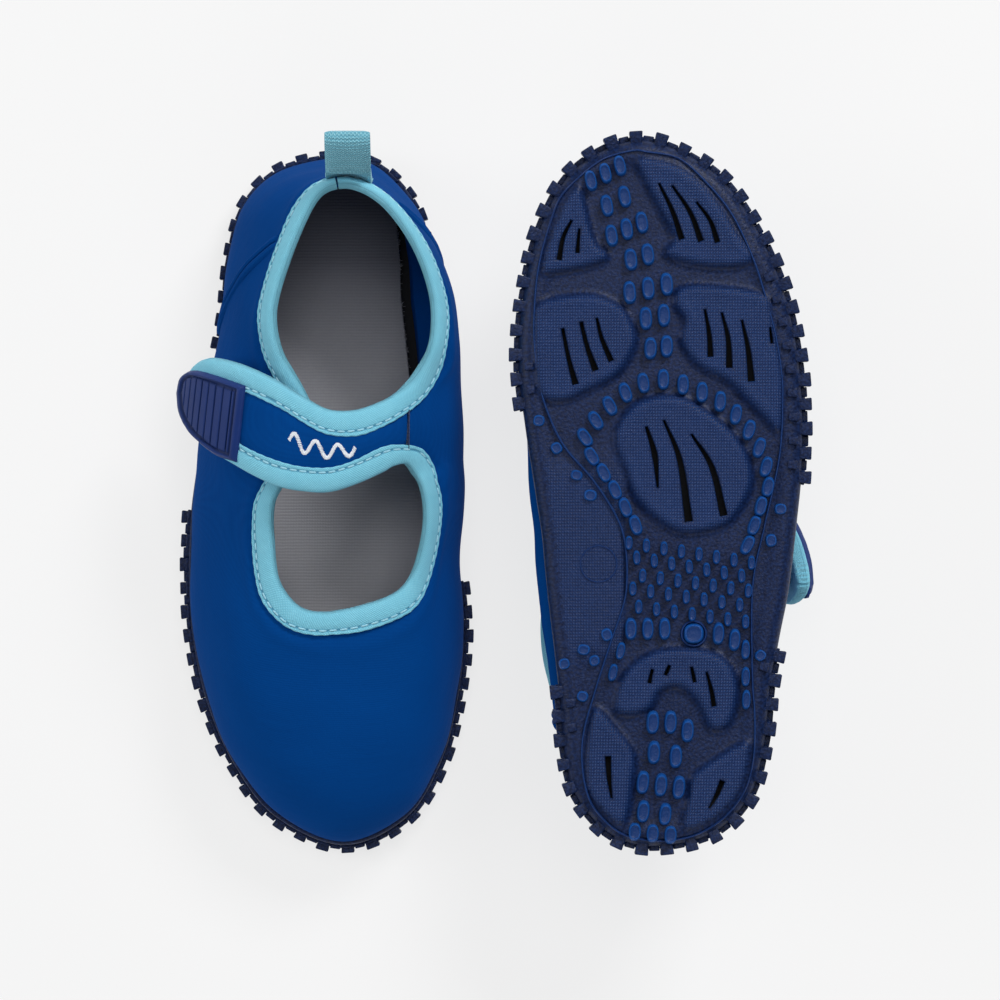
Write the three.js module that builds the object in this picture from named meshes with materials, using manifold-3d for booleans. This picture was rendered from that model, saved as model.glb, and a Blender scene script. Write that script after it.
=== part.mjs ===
// A pair of children's neoprene water shoes: a moulded rubber outsole with rim lugs, a soft
// neoprene upper with one large opening, edge binding, and a strap that closes across the instep.
// The right shoe stands on its sole, toe towards -Y. The left shoe lies turned over, toe towards +Y.
// Millimetres, +Z up, origin on the floor at the centre of the pair.
//
// Every shoe is built in the frame of a right shoe standing on the floor: toe towards +Y, outer
// side of the foot towards +X, heel towards -Y. The left shoe is its mirror image.

import * as THREE from 'three';
import { mergeVertices } from 'three/addons/utils/BufferGeometryUtils.js';
import Module from 'manifold-3d';

const wasm = await Module();
wasm.setup();

// ---- driving dimensions ----

const GAP = 0.35; // clearance between pieces that touch on the real shoe

const TREAD_Z = 1.6; // height of the sole's channels over the floor
const PLATE_TOP = 4.2; // inner floor of the rubber cup
const RIM_TOP = 9.0; // rim of the cup at the waist and heel
const TOE_RISE = 2.0; // how much higher the rim stands at the toe
const RIM_THICK = 2.0;
const BEVEL = 3.2; // how far the tread face lies inside the rim

const LUG = { out: 2.3, wide: 2.7, low: 3.6, high: 7.4, pitch: 6.2 };
const SLOT_WIDE = 1.1;

const BOARD_THICK = 0.9;
const INSOLE_THICK = 2.3;
const FABRIC = 2.0; // neoprene
const BINDING_WIDE = 6.4;
const BINDING_TAPE = 0.8;
const TAPE_GAP = 0.5; // between tape and fabric

const STRAP_THICK = 2.4;
const PATCH_THICK = 0.9; // hook and loop patches
const TAB_THICK = 1.8;

const LOOP = { wide: 11.5, long: 13.5, thick: 4.6, tape: 1.1 };

// Places in the pair. Shoe heights come from the strap's crest and the heel binding.
// The right shoe's heel loop leans back, the left one's is folded into the shoe.
const RIGHT_SHOE = { prefix: 'right_', lean: [0, 0], x: -46, y: -0.5, loop: { y: -83.6, z: 51.2, angle: 42 } };
const LEFT_SHOE = { prefix: 'left_', lean: [3.5, 12], x: 41.7, y: 1.8, loop: { y: -74.8, z: 49.4, angle: 236 } };
const LOOP_X = -7.4;

// Stations round the shoe, from the heel centre along the outer side, the toe and the inner side:
// [rim x, rim y, topline x, topline y, topline z, outward bulge of the wall].
const STATIONS = [
  [-1, -90.2, -4.5, -81.3, 50.0, 1.5],
  [14, -86.8, 0.6, -78.6, 49.3, 2],
  [23.3, -77, 4.6, -71.5, 48.0, 2.5],
  [26.6, -63, 9.2, -60, 45.6, 3],
  [27.6, -49, 12.2, -48.5, 43.6, 3],
  [29.6, -37, 10.3, -38, 43.6, 3],
  [31.7, -26.5, 4.6, -29, 44.8, 2],
  [33, -17, 0.8, -18.5, 45.4, 1.5],
  [34, -8, 6.5, -9, 43.4, 1.5],
  [35.2, 4, 12.2, -0.5, 41.0, 1.5],
  [35.6, 18, 12.4, 10.5, 39.3, 1],
  [34.4, 35, 10.8, 20.5, 37.5, 0.5],
  [30.6, 52, 5.6, 27, 36.2, 0.5],
  [23, 68.8, 0, 28.4, 35.9, 0.5],
  [12, 82.5, -4.2, 28, 36.0, 0.5],
  [-6, 90, -8.5, 27.2, 36.0, 0.5],
  [-22.5, 82.7, -12, 26.2, 35.9, 0.5],
  [-31.6, 67.5, -16, 24.9, 35.7, 0.5],
  [-36, 49, -20.4, 22.4, 35.6, 1],
  [-37, 32, -24.4, 17.4, 35.9, 2],
  [-35.3, 17, -26.8, 9.5, 37.2, 3.5],
  [-33.6, 6, -27.2, 1.5, 39.3, 5],
  [-32.2, -3, -25.6, -5.3, 41.7, 6.5],
  [-31, -11, -22.3, -9.6, 44.0, 7],
  [-30.2, -19.5, -22.3, -19, 46.0, 7],
  [-29.2, -29, -22.3, -28.6, 45.6, 8],
  [-27.7, -41, -28.4, -39, 44.6, 9],
  [-26, -53.5, -29.2, -52, 44.2, 8.5],
  [-24.7, -65.5, -24.8, -65.5, 46.0, 7],
  [-21.5, -77, -17.5, -76, 48.3, 4],
  [-12.5, -87, -10.5, -80.6, 49.7, 2],
];
const COUNT = STATIONS.length;

// Where the binding, the heel seam and the strap sit, in stations.
const STRAP_ROOT = [23, 25];
const HEEL_SEAM_TOP = [2.5, 28];
const HEEL_SEAM_FOOT = [4.2, 26.5];
const LUG_SPANS = [[4.9, -4.4], [9.0, 20.2]]; // the waist carries no lugs

// The strap's edges from its root on the inner side to its tip: [x, y, z] of the outer face.
const STRAP_REAR = [
  [-21.2, -28.4, 46.4], [-13.5, -24.6, 49.6], [-4.5, -23, 51.3], [4, -26.7, 50.9],
  [12.7, -31.8, 48.5], [21.2, -35.3, 43.8], [29, -37, 36.4], [34.2, -34.5, 28.4], [36.8, -28.5, 22.4],
];
const STRAP_FRONT = [
  [-21.2, -9.4, 44.8], [-14.5, -6.8, 47.9], [-5, -2.8, 49.6], [5, -2.8, 49.3],
  [13.2, -4.8, 47.4], [21.2, -9, 43.0], [29, -13.4, 35.8], [34.5, -18.3, 28.4], [37, -24.3, 22.4],
];
const PEEL = 4.6; // strap station where its end bends up
const TAB_FROM = 4.9;
const STRAP_END = 8;

// ---- small helpers ----

const lerp = THREE.MathUtils.lerp;
const smoothstep = THREE.MathUtils.smoothstep;

const closedCurve = (points) => new THREE.CatmullRomCurve3(points, true, 'catmullrom', 0.5);
const openCurve = (points) => new THREE.CatmullRomCurve3(points, false, 'catmullrom', 0.5);
const toVector = ([x, y, z]) => new THREE.Vector3(x, y, z);

const rimCurve = closedCurve(STATIONS.map(([x, y]) => new THREE.Vector3(x, y, 0)));
const topCurve = closedCurve(STATIONS.map(([, , x, y, z]) => new THREE.Vector3(x, y, z)));
const bulgeCurve = closedCurve(STATIONS.map((s) => new THREE.Vector3(s[5], 0, 0)));
const strapRearCurve = openCurve(STRAP_REAR.map(toVector));
const strapFrontCurve = openCurve(STRAP_FRONT.map(toVector));

const atStation = (curve, station) => curve.getPoint((((station % COUNT) + COUNT) % COUNT) / COUNT);

function outward(station) {
  const ahead = atStation(rimCurve, station + 0.02);
  const behind = atStation(rimCurve, station - 0.02);
  return new THREE.Vector3(ahead.y - behind.y, behind.x - ahead.x, 0).normalize();
}

const rimPoint = (station, inset, z) =>
  atStation(rimCurve, station).addScaledVector(outward(station), -inset).setZ(z);

function geometryFrom(vertices, triangles) {
  const geometry = new THREE.BufferGeometry();
  const numbers = vertices.flatMap((v) => [v.x, v.y, v.z]);
  geometry.setAttribute('position', new THREE.Float32BufferAttribute(numbers, 3));
  geometry.setIndex(triangles.flat());
  return geometry;
}

const range = (from, to, steps) => Array.from({ length: steps + 1 }, (_, i) => lerp(from, to, i / steps));

// A closed solid with one outer and one inner grid of the same size, joined along the grid's rim.
// point(i, j) and normal(i, j) give the outer face; columns may close on themselves.
function shell(columns, rows, outer, inner) {
  const vertices = [];
  for (const face of [outer, inner]) {
    for (let i = 0; i <= columns; i++) for (let j = 0; j <= rows; j++) vertices.push(face(i, j));
  }
  const half = (columns + 1) * (rows + 1);
  const at = (i, j) => i * (rows + 1) + j;
  const triangles = [];
  const quad = (a, b, c, d) => triangles.push([a, b, c], [a, c, d]);
  for (let i = 0; i < columns; i++) {
    for (let j = 0; j < rows; j++) {
      quad(at(i, j), at(i + 1, j), at(i + 1, j + 1), at(i, j + 1));
      quad(half + at(i, j), half + at(i, j + 1), half + at(i + 1, j + 1), half + at(i + 1, j));
    }
    quad(at(i, 0), half + at(i, 0), half + at(i + 1, 0), at(i + 1, 0));
    quad(at(i + 1, rows), half + at(i + 1, rows), half + at(i, rows), at(i, rows));
  }
  for (let j = 0; j < rows; j++) {
    quad(at(0, j), at(0, j + 1), half + at(0, j + 1), half + at(0, j));
    quad(at(columns, j), half + at(columns, j), half + at(columns, j + 1), at(columns, j + 1));
  }
  return geometryFrom(vertices, triangles);
}

// A solid swept through closed sections, each a list of the same number of points. The last side of
// each section is split along its other diagonal, so that it lies flat on a shell's outer face.
function sweep(sections) {
  const size = sections[0].length;
  const vertices = sections.flat();
  const triangles = [];
  for (let i = 0; i + 1 < sections.length; i++) {
    for (let j = 0; j < size; j++) {
      const k = (j + 1) % size;
      const [a, b] = [i * size + j, i * size + k];
      if (k === 0) triangles.push([a, a + size, b], [b, a + size, b + size]);
      else triangles.push([a, a + size, b + size], [a, b + size, b]);
    }
  }
  return { vertices, triangles, size };
}

// Triangles of a flat cap over a loop of vertices, seen from above.
const capOver = (loop) =>
  THREE.ShapeUtils.triangulateShape(loop.map((v) => new THREE.Vector2(v.x, v.y)), []);

function prism(outline, low, high) {
  const shape = new THREE.Shape(outline.map(([x, y]) => new THREE.Vector2(x, y)));
  const geometry = new THREE.ExtrudeGeometry(shape, { depth: high - low, bevelEnabled: false });
  return geometry.translate(0, 0, low);
}

function toManifold(geometry) {
  const bare = geometry.clone();
  bare.deleteAttribute('normal');
  bare.deleteAttribute('uv');
  const merged = mergeVertices(bare, 1e-4);
  return new wasm.Manifold(new wasm.Mesh({
    numProp: 3,
    vertProperties: new Float32Array(merged.attributes.position.array),
    triVerts: new Uint32Array(merged.index.array),
  }));
}

function fromManifold(solid) {
  const mesh = solid.getMesh();
  const geometry = new THREE.BufferGeometry();
  geometry.setAttribute('position', new THREE.Float32BufferAttribute(mesh.vertProperties, 3));
  geometry.setIndex(Array.from(mesh.triVerts));
  return geometry;
}

const joined = (geometries) => geometries.map(toManifold).reduce((a, b) => a.add(b));

// ---- the upper's surface ----

const FOOT_Z = PLATE_TOP + GAP + BOARD_THICK + GAP; // where the upper's lower edge stands
const FOOT_INSET = RIM_THICK + 0.8;

// A wall section is a cubic curve from the foot inside the rim to the topline. Short sections are
// steep walls, long ones lie over the toes.
function upperPoint(station, v) {
  const out = outward(station);
  const foot = rimPoint(station, FOOT_INSET, FOOT_Z);
  const top = atStation(topCurve, station);
  const bulge = atStation(bulgeCurve, station).x;
  const reach = Math.hypot(foot.x - top.x, foot.y - top.y);
  const full = smoothstep(reach, 10, 34);
  const rise = top.z - FOOT_Z;
  const knee = foot.clone().setZ(FOOT_Z + rise * lerp(0.38, 0.8, full));
  const shoulder = top.clone().lerp(foot, lerp(0.25, 0.58, full));
  shoulder.z = top.z - rise * lerp(0.34, 0.04, full) - Math.max(0, reach - 32) * 0.1;
  const point = new THREE.CubicBezierCurve3(foot, knee, shoulder, top).getPoint(v);
  const height = THREE.MathUtils.clamp((point.z - RIM_TOP) / (top.z - RIM_TOP), 0, 1);
  return point.addScaledVector(out, bulge * Math.sin(Math.PI * height));
}

function upperNormal(station, v) {
  const low = Math.max(0, v - 0.02);
  const high = Math.min(1, v + 0.02);
  const along = upperPoint(station + 0.05, v).sub(upperPoint(station - 0.05, v));
  const up = upperPoint(station, high).sub(upperPoint(station, low));
  return along.cross(up).normalize();
}

const onUpper = (station, v, off) => upperPoint(station, v).addScaledVector(upperNormal(station, v), off);

// The v at which a section is a given distance below the topline.
function vBelowTop(station, distance) {
  const steps = 40;
  let walked = 0;
  let previous = upperPoint(station, 1);
  for (let i = 1; i <= steps; i++) {
    const next = upperPoint(station, 1 - i / steps);
    const step = next.distanceTo(previous);
    if (walked + step >= distance) return 1 - (i - 1 + (distance - walked) / step) / steps;
    walked += step;
    previous = next;
  }
  return 0;
}

// The v at which a section leaves the rim of the rubber cup.
function vAtRim(station) {
  const height = rimTop(station) + GAP;
  let [low, high] = [0, 0.6];
  for (let i = 0; i < 12; i++) {
    const middle = (low + high) / 2;
    if (upperPoint(station, middle).z < height) low = middle;
    else high = middle;
  }
  return high;
}

// A fabric panel of the upper between two slanting seams, given by their stations at foot and top.
function upperPanel(footRange, topRange, columns) {
  const rows = 6;
  const slantOver = Math.min(columns, 8);
  const slant = (k, steps) => (footRange[k] - topRange[k]) * Math.max(0, 1 - steps / slantOver);
  const station = (i, v) =>
    lerp(topRange[0], topRange[1], i / columns) + (1 - v) * (slant(0, i) + slant(1, columns - i));
  const level = (i, j) => {
    const top = station(i, 1);
    if (j === 0) return 0;
    if (j === rows) return vBelowTop(top, GAP);
    return lerp(vAtRim(station(i, 0.1)), vBelowTop(top, BINDING_WIDE), (j - 1) / (rows - 2));
  };
  const face = (off) => (i, j) => {
    const v = level(i, j);
    return onUpper(station(i, v), v, off);
  };
  return shell(columns, rows, face(0), face(-FABRIC));
}

// Edge binding: a tape folded over the fabric's edge, as a channel that opens downwards.
function binding(from, to) {
  const legs = (station) => {
    const low = vBelowTop(station, BINDING_WIDE);
    const edge = upperPoint(station, 1);
    const normal = upperNormal(station, 1);
    const rise = edge.clone().sub(upperPoint(station, vBelowTop(station, 1))).normalize();
    const top = (over, off) => edge.clone().addScaledVector(rise, over).addScaledVector(normal, off);
    const side = (off) => onUpper(station, low, off);
    const [near, far] = [TAPE_GAP, TAPE_GAP + BINDING_TAPE];
    return [
      side(near), side(far),
      top(BINDING_TAPE, far), top(BINDING_TAPE, -FABRIC - far),
      side(-FABRIC - far), side(-FABRIC - near),
      top(0, -FABRIC - near), top(0, near),
    ];
  };
  const halfStations = range(0, COUNT, 2 * COUNT);
  const between = halfStations.filter((s) => s > from && s < to);
  const { vertices, triangles, size } = sweep([from, ...between, to].map(legs));
  const end = vertices.length - size;
  for (const [a, b, c, d] of [[0, 1, 2, 7], [7, 2, 3, 6], [6, 3, 4, 5]]) {
    triangles.push([a, b, c], [a, c, d]);
    triangles.push([end + a, end + c, end + b], [end + a, end + d, end + c]);
  }
  return geometryFrom(vertices, triangles);
}

// ---- the sole ----

const soleStations = range(0, COUNT, 62).slice(0, -1);
const rimTop = (station) => RIM_TOP + TOE_RISE * smoothstep(atStation(rimCurve, station).y, 30, 85);

function soleCup() {
  const profile = [[BEVEL, TREAD_Z], [0.5, 3.4], [0, 5], [0.2, null], [RIM_THICK, null], [RIM_THICK, PLATE_TOP]];
  const sections = soleStations.map((station) =>
    profile.map(([inset, z]) => rimPoint(station, inset, z ?? rimTop(station))));
  const { vertices, triangles, size } = sweep([...sections, sections[0]]);
  const lastRing = (sections.length) * size;
  const ring = vertices.slice(0, lastRing);
  const wrapped = triangles.map((t) => t.map((k) => k % lastRing));
  const faces = wrapped.filter((t) => !t.every((k) => k % size === 0 || k % size === size - 1));
  const rim = (column) => soleStations.map((_, i) => i * size + column);
  const cap = (column, flip) => {
    const ids = rim(column);
    return capOver(ids.map((k) => ring[k])).map((t) => {
      const [a, b, c] = t.map((k) => ids[k]);
      return flip ? [a, c, b] : [a, b, c];
    });
  };
  return geometryFrom(ring, [...faces, ...cap(0, true), ...cap(size - 1, false)]);
}

// Stations at equal steps along the rim, for the lugs.
function lugStations() {
  const found = [];
  for (const [from, to] of LUG_SPANS) {
    const sign = Math.sign(to - from);
    let walked = LUG.pitch;
    for (let s = from; sign * (to - s) >= 0; s += sign * 0.02) {
      walked += atStation(rimCurve, s).distanceTo(atStation(rimCurve, s + sign * 0.02));
      if (walked >= LUG.pitch) {
        found.push(s);
        walked -= LUG.pitch;
      }
    }
  }
  return found;
}

function lug(station) {
  const buried = 0.8; // how deep a lug reaches into the rim
  const block = new THREE.BoxGeometry(LUG.out + buried, LUG.wide, LUG.high - LUG.low);
  const out = outward(station);
  const centre = rimPoint(station, -(LUG.out - buried) / 2, (LUG.low + LUG.high) / 2);
  return block.rotateZ(Math.atan2(out.y, out.x)).translate(centre.x, centre.y, centre.z);
}

// Raised tread pads as outlines in plan.
const PADS = [
  [[-27, 52], [-26, 66], [-17, 78], [-12, 72], [-10, 56], [-19, 49]],
  [[-1, 80], [10, 76], [20, 62], [21, 55], [5, 51], [1, 62]],
  [[-31, 42], [-17, 46], [-12, 33], [-24, 21], [-30, 26]],
  [[4, 46], [25, 48], [31, 40], [30, 21], [14, 32], [4, 36]],
  [[-11, 16], [-4, 24], [6, 26], [17, 22], [22, 10], [17, -6], [7, -14], [-3, -4]],
  [[-12, -43], [-6, -40.5], [12, -42], [19, -48], [18, -58], [12, -60], [8, -48], [-8, -48], [-12, -56]],
  [[-17, -60], [-10, -56], [-7, -66], [-10, -80], [-15, -76]],
  [[11, -66], [20, -62], [20, -72], [12, -80], [7, -78]],
];
// Rows of oval studs: [x, y of the first, x, y of the last, how many].
const STUD_ROWS = [
  [-14.5, 72, -9.5, 75, 2], [-13, 65, -9, 67, 2], [-8.5, 57.5, -4, 59, 2], [-8.5, 51, 0.8, 53, 3],
  [-4.5, 44.5, 0, 45, 2], [-3.3, 36.8, 0.6, 37.2, 2], [-8, -13, 20, -17.5, 6], [-7, -22, 20, -26, 6],
  [-2, -58, 2, -58, 2], [-4, -74, 5, -75, 2],
];
const STUD_ARC = { x: 2, y: 7, rx: 24, ry: 22, from: -40, to: 215, count: 14 };
const STUD = { rx: 1.3, ry: 2.1, sides: 6 };

function stud(x, y) {
  const outline = range(0, 2 * Math.PI, STUD.sides).slice(0, -1)
    .map((a) => [x + STUD.rx * Math.cos(a), y + STUD.ry * Math.sin(a)]);
  return prism(outline, 0, TREAD_Z + 0.4);
}

function studs() {
  const rows = STUD_ROWS.flatMap(([x0, y0, x1, y1, count]) =>
    range(0, 1, count - 1).map((t) => stud(lerp(x0, x1, t), lerp(y0, y1, t))));
  const arc = range(STUD_ARC.from, STUD_ARC.to, STUD_ARC.count - 1).map((degrees) => {
    const a = THREE.MathUtils.degToRad(degrees);
    return stud(STUD_ARC.x + STUD_ARC.rx * Math.cos(a), STUD_ARC.y + STUD_ARC.ry * Math.sin(a));
  });
  return [...rows, ...arc];
}

// Drain slots through the sole, from one end to the other.
const SLOTS = [
  [-22, 69, -26, 59], [1, 78, 7, 64], [5, 77, 12, 64], [-23, 40, -19, 27], [-18, 43, -14, 31],
  [13, 44, 15, 31], [18, 43, 21, 29], [-3, 17, 0, 3], [1, 18, 7, -7], [8, 15, 16, -6],
  [-13, -66, -12, -77],
];

function slot([x0, y0, x1, y1]) {
  const along = new THREE.Vector2(x1 - x0, y1 - y0);
  const block = new THREE.BoxGeometry(along.length(), SLOT_WIDE, 12);
  return block.rotateZ(along.angle()).translate((x0 + x1) / 2, (y0 + y1) / 2, 0);
}

function outsole() {
  const pads = PADS.map((outline) => prism([...outline].reverse(), 0, TREAD_Z + 0.4));
  const body = joined([soleCup(), ...pads, ...studs(), ...lugStations().map(lug)]);
  return fromManifold(body.subtract(joined(SLOTS.map(slot))));
}

function flatPiece(inset, low, high) {
  const outline = range(0, COUNT, 36).slice(0, -1).map((s) => rimPoint(s, inset(s), 0));
  return prism(outline.map((v) => [v.x, v.y]), low, high);
}

const midsoleBoard = () => flatPiece(() => RIM_THICK + GAP + 0.1, PLATE_TOP + GAP, FOOT_Z - GAP);

// The insole leaves a strip bare along the inner side of the foot.
function insole() {
  const clear = FOOT_INSET + FABRIC + GAP + 0.4;
  const bare = (station) => 4 * smoothstep(station, 20, 23) * (1 - smoothstep(station, 27, 30));
  return flatPiece((s) => clear + bare(s), FOOT_Z + GAP, FOOT_Z + GAP + INSOLE_THICK);
}

// ---- the strap ----

function strapPoint(s, w) {
  const rear = strapRearCurve.getPoint(s / STRAP_END);
  const front = strapFrontCurve.getPoint(s / STRAP_END);
  const crown = 0.7 * Math.sin(Math.PI * w);
  const point = rear.lerp(front, w);
  point.z += crown;
  return point;
}

function strapNormal(s, w) {
  const along = strapPoint(Math.min(STRAP_END, s + 0.05), w).sub(strapPoint(Math.max(0, s - 0.05), w));
  const across = strapPoint(s, 1).sub(strapPoint(s, 0));
  return along.cross(across).normalize();
}

const onStrap = (s, w, off) => strapPoint(s, w).addScaledVector(strapNormal(s, w), off);

// A layer of the strap: ranges of s and of w, and the offsets of its two faces.
function strapLayer([s0, s1], across, [under, over], columns, rows) {
  const face = (off) => (i, j) => {
    const s = lerp(s0, s1, i / columns);
    const [w0, w1] = typeof across === 'function' ? across(s) : across;
    return onStrap(s, lerp(w0, w1, j / rows), off);
  };
  return shell(columns, rows, face(over), face(under));
}

const EDGE = 0.27; // share of the strap's width that each binding covers
const EDGE_GAP = 0.016; // clearance between fabric and binding, as a share of the width
const PROUD = 0.3; // how far the binding stands out of the fabric
const INNER = -STRAP_THICK;
const REAR_EDGE = [0, EDGE - EDGE_GAP];
const FRONT_EDGE = [1 - EDGE + EDGE_GAP, 1];
const strapCore = (span, columns) => strapLayer(span, [EDGE, 1 - EDGE], [INNER, 0], columns, 2);
const strapEdge = (span, across, columns) => strapLayer(span, across, [INNER - PROUD, PROUD], columns, 1);

const ROOT_FROM = 0.03;
const PEEL_GAP = 0.04;

// The end of the strap is a fabric tongue with one tape bent round it as a U.
const TONGUE_END = 7.35;
function endBinding() {
  const inner = [];
  const outer = [];
  const from = PEEL + PEEL_GAP;
  const to = TONGUE_END + 0.12;
  for (const s of range(from, to, 4)) {
    inner.push([s, REAR_EDGE[1]]);
    outer.push([s, REAR_EDGE[0]]);
  }
  for (const w of range(0.33, 0.67, 2)) {
    inner.push([to, w]);
    outer.push([STRAP_END, w]);
  }
  for (const s of range(to, from, 4)) {
    inner.push([s, FRONT_EDGE[0]]);
    outer.push([s, FRONT_EDGE[1]]);
  }
  const face = (off) => (i, j) => {
    const [s, w] = (j === 0 ? outer : inner)[i];
    return onStrap(s, w, off);
  };
  return shell(inner.length - 1, 1, face(PROUD), face(INNER - PROUD));
}

// A rubber tab in the shape of a D, raised off the tongue.
function pullTab() {
  const across = (s) => {
    const u = THREE.MathUtils.clamp((s - TAB_FROM) / (STRAP_END - TAB_FROM), 0, 1);
    const round = Math.sqrt(Math.max(0.12, 1 - u ** 4));
    return [0.56 - 0.4 * round, 0.56 + 0.4 * round];
  };
  const under = PROUD + GAP;
  return strapLayer([TAB_FROM, STRAP_END - 0.12], across, [under, under + TAB_THICK], 7, 2);
}

const PATCH_SPAN = [5.0, 7.1];
const PATCH_WIDE = [0.34, 0.68];
const hookPatch = () =>
  strapLayer(PATCH_SPAN, PATCH_WIDE, [INNER - GAP - PATCH_THICK, INNER - GAP], 3, 1);

// Stitched ornament: a plain wave.
const WAVE_STEPS = 18;
function wave() {
  const face = (off) => (i, j) => {
    const t = i / WAVE_STEPS;
    const w = 0.5 + 0.075 * Math.sin(t * 6 * Math.PI);
    return onStrap(lerp(1.5, 3.4, t), w + (j - 0.5) * 0.05, off);
  };
  return shell(WAVE_STEPS, 1, face(GAP + 0.5), face(GAP));
}

// The matching patch on the outer side of the upper, under the strap's end.
const loopPatch = () => strapLayer(PATCH_SPAN, PATCH_WIDE,
  [INNER - 2 * (GAP + PATCH_THICK), INNER - 2 * GAP - PATCH_THICK], 3, 1);

// ---- heel loop: webbing folded back on itself ----

function heelLoop({ y, z, angle }) {
  const half = LOOP.thick / 2;
  const teardrop = (inset) => {
    const long = LOOP.long - inset;
    const thick = half - inset;
    const points = [[inset * 1.2, -0.5], [long * 0.45, -thick], [long * 0.85, -thick * 0.8], [long, 0]];
    return [...points, ...points.slice(0, 3).reverse().map(([x, y]) => [x, -y])];
  };
  const shape = new THREE.Shape(teardrop(0).map(([x, y]) => new THREE.Vector2(x, y)));
  shape.holes.push(new THREE.Path(teardrop(LOOP.tape).map(([x, y]) => new THREE.Vector2(x, y))));
  const geometry = new THREE.ExtrudeGeometry(shape, { depth: LOOP.wide, bevelEnabled: false });
  geometry.translate(0, 0, -LOOP.wide / 2).rotateX(Math.PI / 2).rotateZ(-Math.PI / 2);
  geometry.rotateX(THREE.MathUtils.degToRad(-angle));
  return geometry.translate(LOOP_X, y, z);
}

// ---- materials ----

const finish = (color, roughness) => new THREE.MeshStandardMaterial({ color, roughness, metalness: 0 });

const MATERIALS = {
  rubber: finish(0x1f3156, 0.55),
  board: finish(0x0b0c10, 0.9),
  insole: finish(0x6f7074, 0.95),
  neoprene: finish(0x0c4884, 0.8),
  binding: finish(0x79b5cb, 0.85),
  webbing: finish(0x6ca6b7, 0.8),
  tab: finish(0x213866, 0.5),
  patch: finish(0x16325c, 0.95),
  thread: finish(0xe9edf2, 0.6),
};

// ---- one shoe ----

function pieces(shoe) {
  return [
    ['outsole', 'rubber', outsole()],
    ['midsole_board', 'board', midsoleBoard()],
    ['insole', 'insole', insole()],
    ['upper', 'neoprene', upperPanel(HEEL_SEAM_FOOT, HEEL_SEAM_TOP, 51)],
    ['heel_panel', 'neoprene',
      upperPanel([HEEL_SEAM_FOOT[1] + 0.05, COUNT + HEEL_SEAM_FOOT[0] - 0.05],
        [HEEL_SEAM_TOP[1] + 0.06, COUNT + HEEL_SEAM_TOP[0] - 0.06], 11)],
    ['topline_binding', 'binding', binding(0.1, STRAP_ROOT[0] - 0.5)],
    ['collar_binding', 'binding', binding(STRAP_ROOT[1] + 0.5, COUNT - 0.1)],
    ['loop_patch', 'patch', loopPatch()],
    ['heel_loop', 'webbing', heelLoop(shoe.loop)],
    ['strap', 'neoprene', strapCore([ROOT_FROM, PEEL - PEEL_GAP], 7)],
    ['strap_rear_binding', 'binding', strapEdge([ROOT_FROM, PEEL - PEEL_GAP], REAR_EDGE, 7)],
    ['strap_front_binding', 'binding', strapEdge([ROOT_FROM, PEEL - PEEL_GAP], FRONT_EDGE, 7)],
    ['strap_ornament', 'thread', wave()],
    ['strap_end', 'neoprene', strapCore([PEEL + PEEL_GAP, TONGUE_END], 4)],
    ['strap_end_binding', 'binding', endBinding()],
    ['pull_tab', 'tab', pullTab()],
    ['hook_patch', 'patch', hookPatch()],
  ];
}

// The soft parts above the rim lean outwards and towards the toe on a shoe that lies on them.
function leaned(geometry, lean) {
  const position = geometry.attributes.position;
  for (let i = 0; i < position.count; i++) {
    const z = position.getZ(i);
    const share = smoothstep(z, RIM_TOP + TOE_RISE, 46);
    position.setX(i, position.getX(i) + lean[0] * share);
    position.setY(i, position.getY(i) + lean[1] * share);
  }
  return geometry;
}

function mirrored(geometry) {
  geometry.scale(-1, 1, 1);
  const index = geometry.index;
  const flipped = [];
  for (let i = 0; i < index.count; i += 3) flipped.push(index.getX(i), index.getX(i + 2), index.getX(i + 1));
  geometry.setIndex(flipped);
  return geometry;
}

function weldedGeometry(geometry) {
  geometry.deleteAttribute('normal');
  geometry.deleteAttribute('uv');
  return mergeVertices(geometry, 1e-4);
}

function buildShoe(shoe, isLeft) {
  const group = new THREE.Group();
  for (const [name, material, raw] of pieces(shoe)) {
    const solid = leaned(weldedGeometry(raw), shoe.lean);
    const mesh = new THREE.Mesh(isLeft ? mirrored(solid) : solid, MATERIALS[material].clone());
    mesh.geometry.computeVertexNormals();
    mesh.name = shoe.prefix + name;
    group.add(mesh);
  }
  return group;
}

const right = buildShoe(RIGHT_SHOE, false);
right.rotation.z = Math.PI;
right.position.set(RIGHT_SHOE.x, RIGHT_SHOE.y, 0);

const left = buildShoe(LEFT_SHOE, true);
left.rotation.y = Math.PI;
left.position.set(LEFT_SHOE.x, LEFT_SHOE.y, 0);
left.position.z = -new THREE.Box3().setFromObject(left).min.z;

const group = new THREE.Group();
group.add(right, left);

// Put the origin on the floor under the centre of the pair.
const centre = new THREE.Box3().setFromObject(group).getCenter(new THREE.Vector3());
right.position.x -= centre.x;
right.position.y -= centre.y;
left.position.x -= centre.x;
left.position.y -= centre.y;

export default group;
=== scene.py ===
"""A pair of children's neoprene water shoes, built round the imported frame.

Every piece is described in the frame of a right shoe standing on the floor, in millimetres: toe
towards +y, outer side of the foot towards +x, floor at z = 0. Shoe.place turns that into the row
frame in metres, for the upright right shoe and for the left shoe, which lies turned over.
"""
import math

import bmesh
import bpy
import numpy as np
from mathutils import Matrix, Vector
from mathutils.geometry import delaunay_2d_cdt


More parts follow.
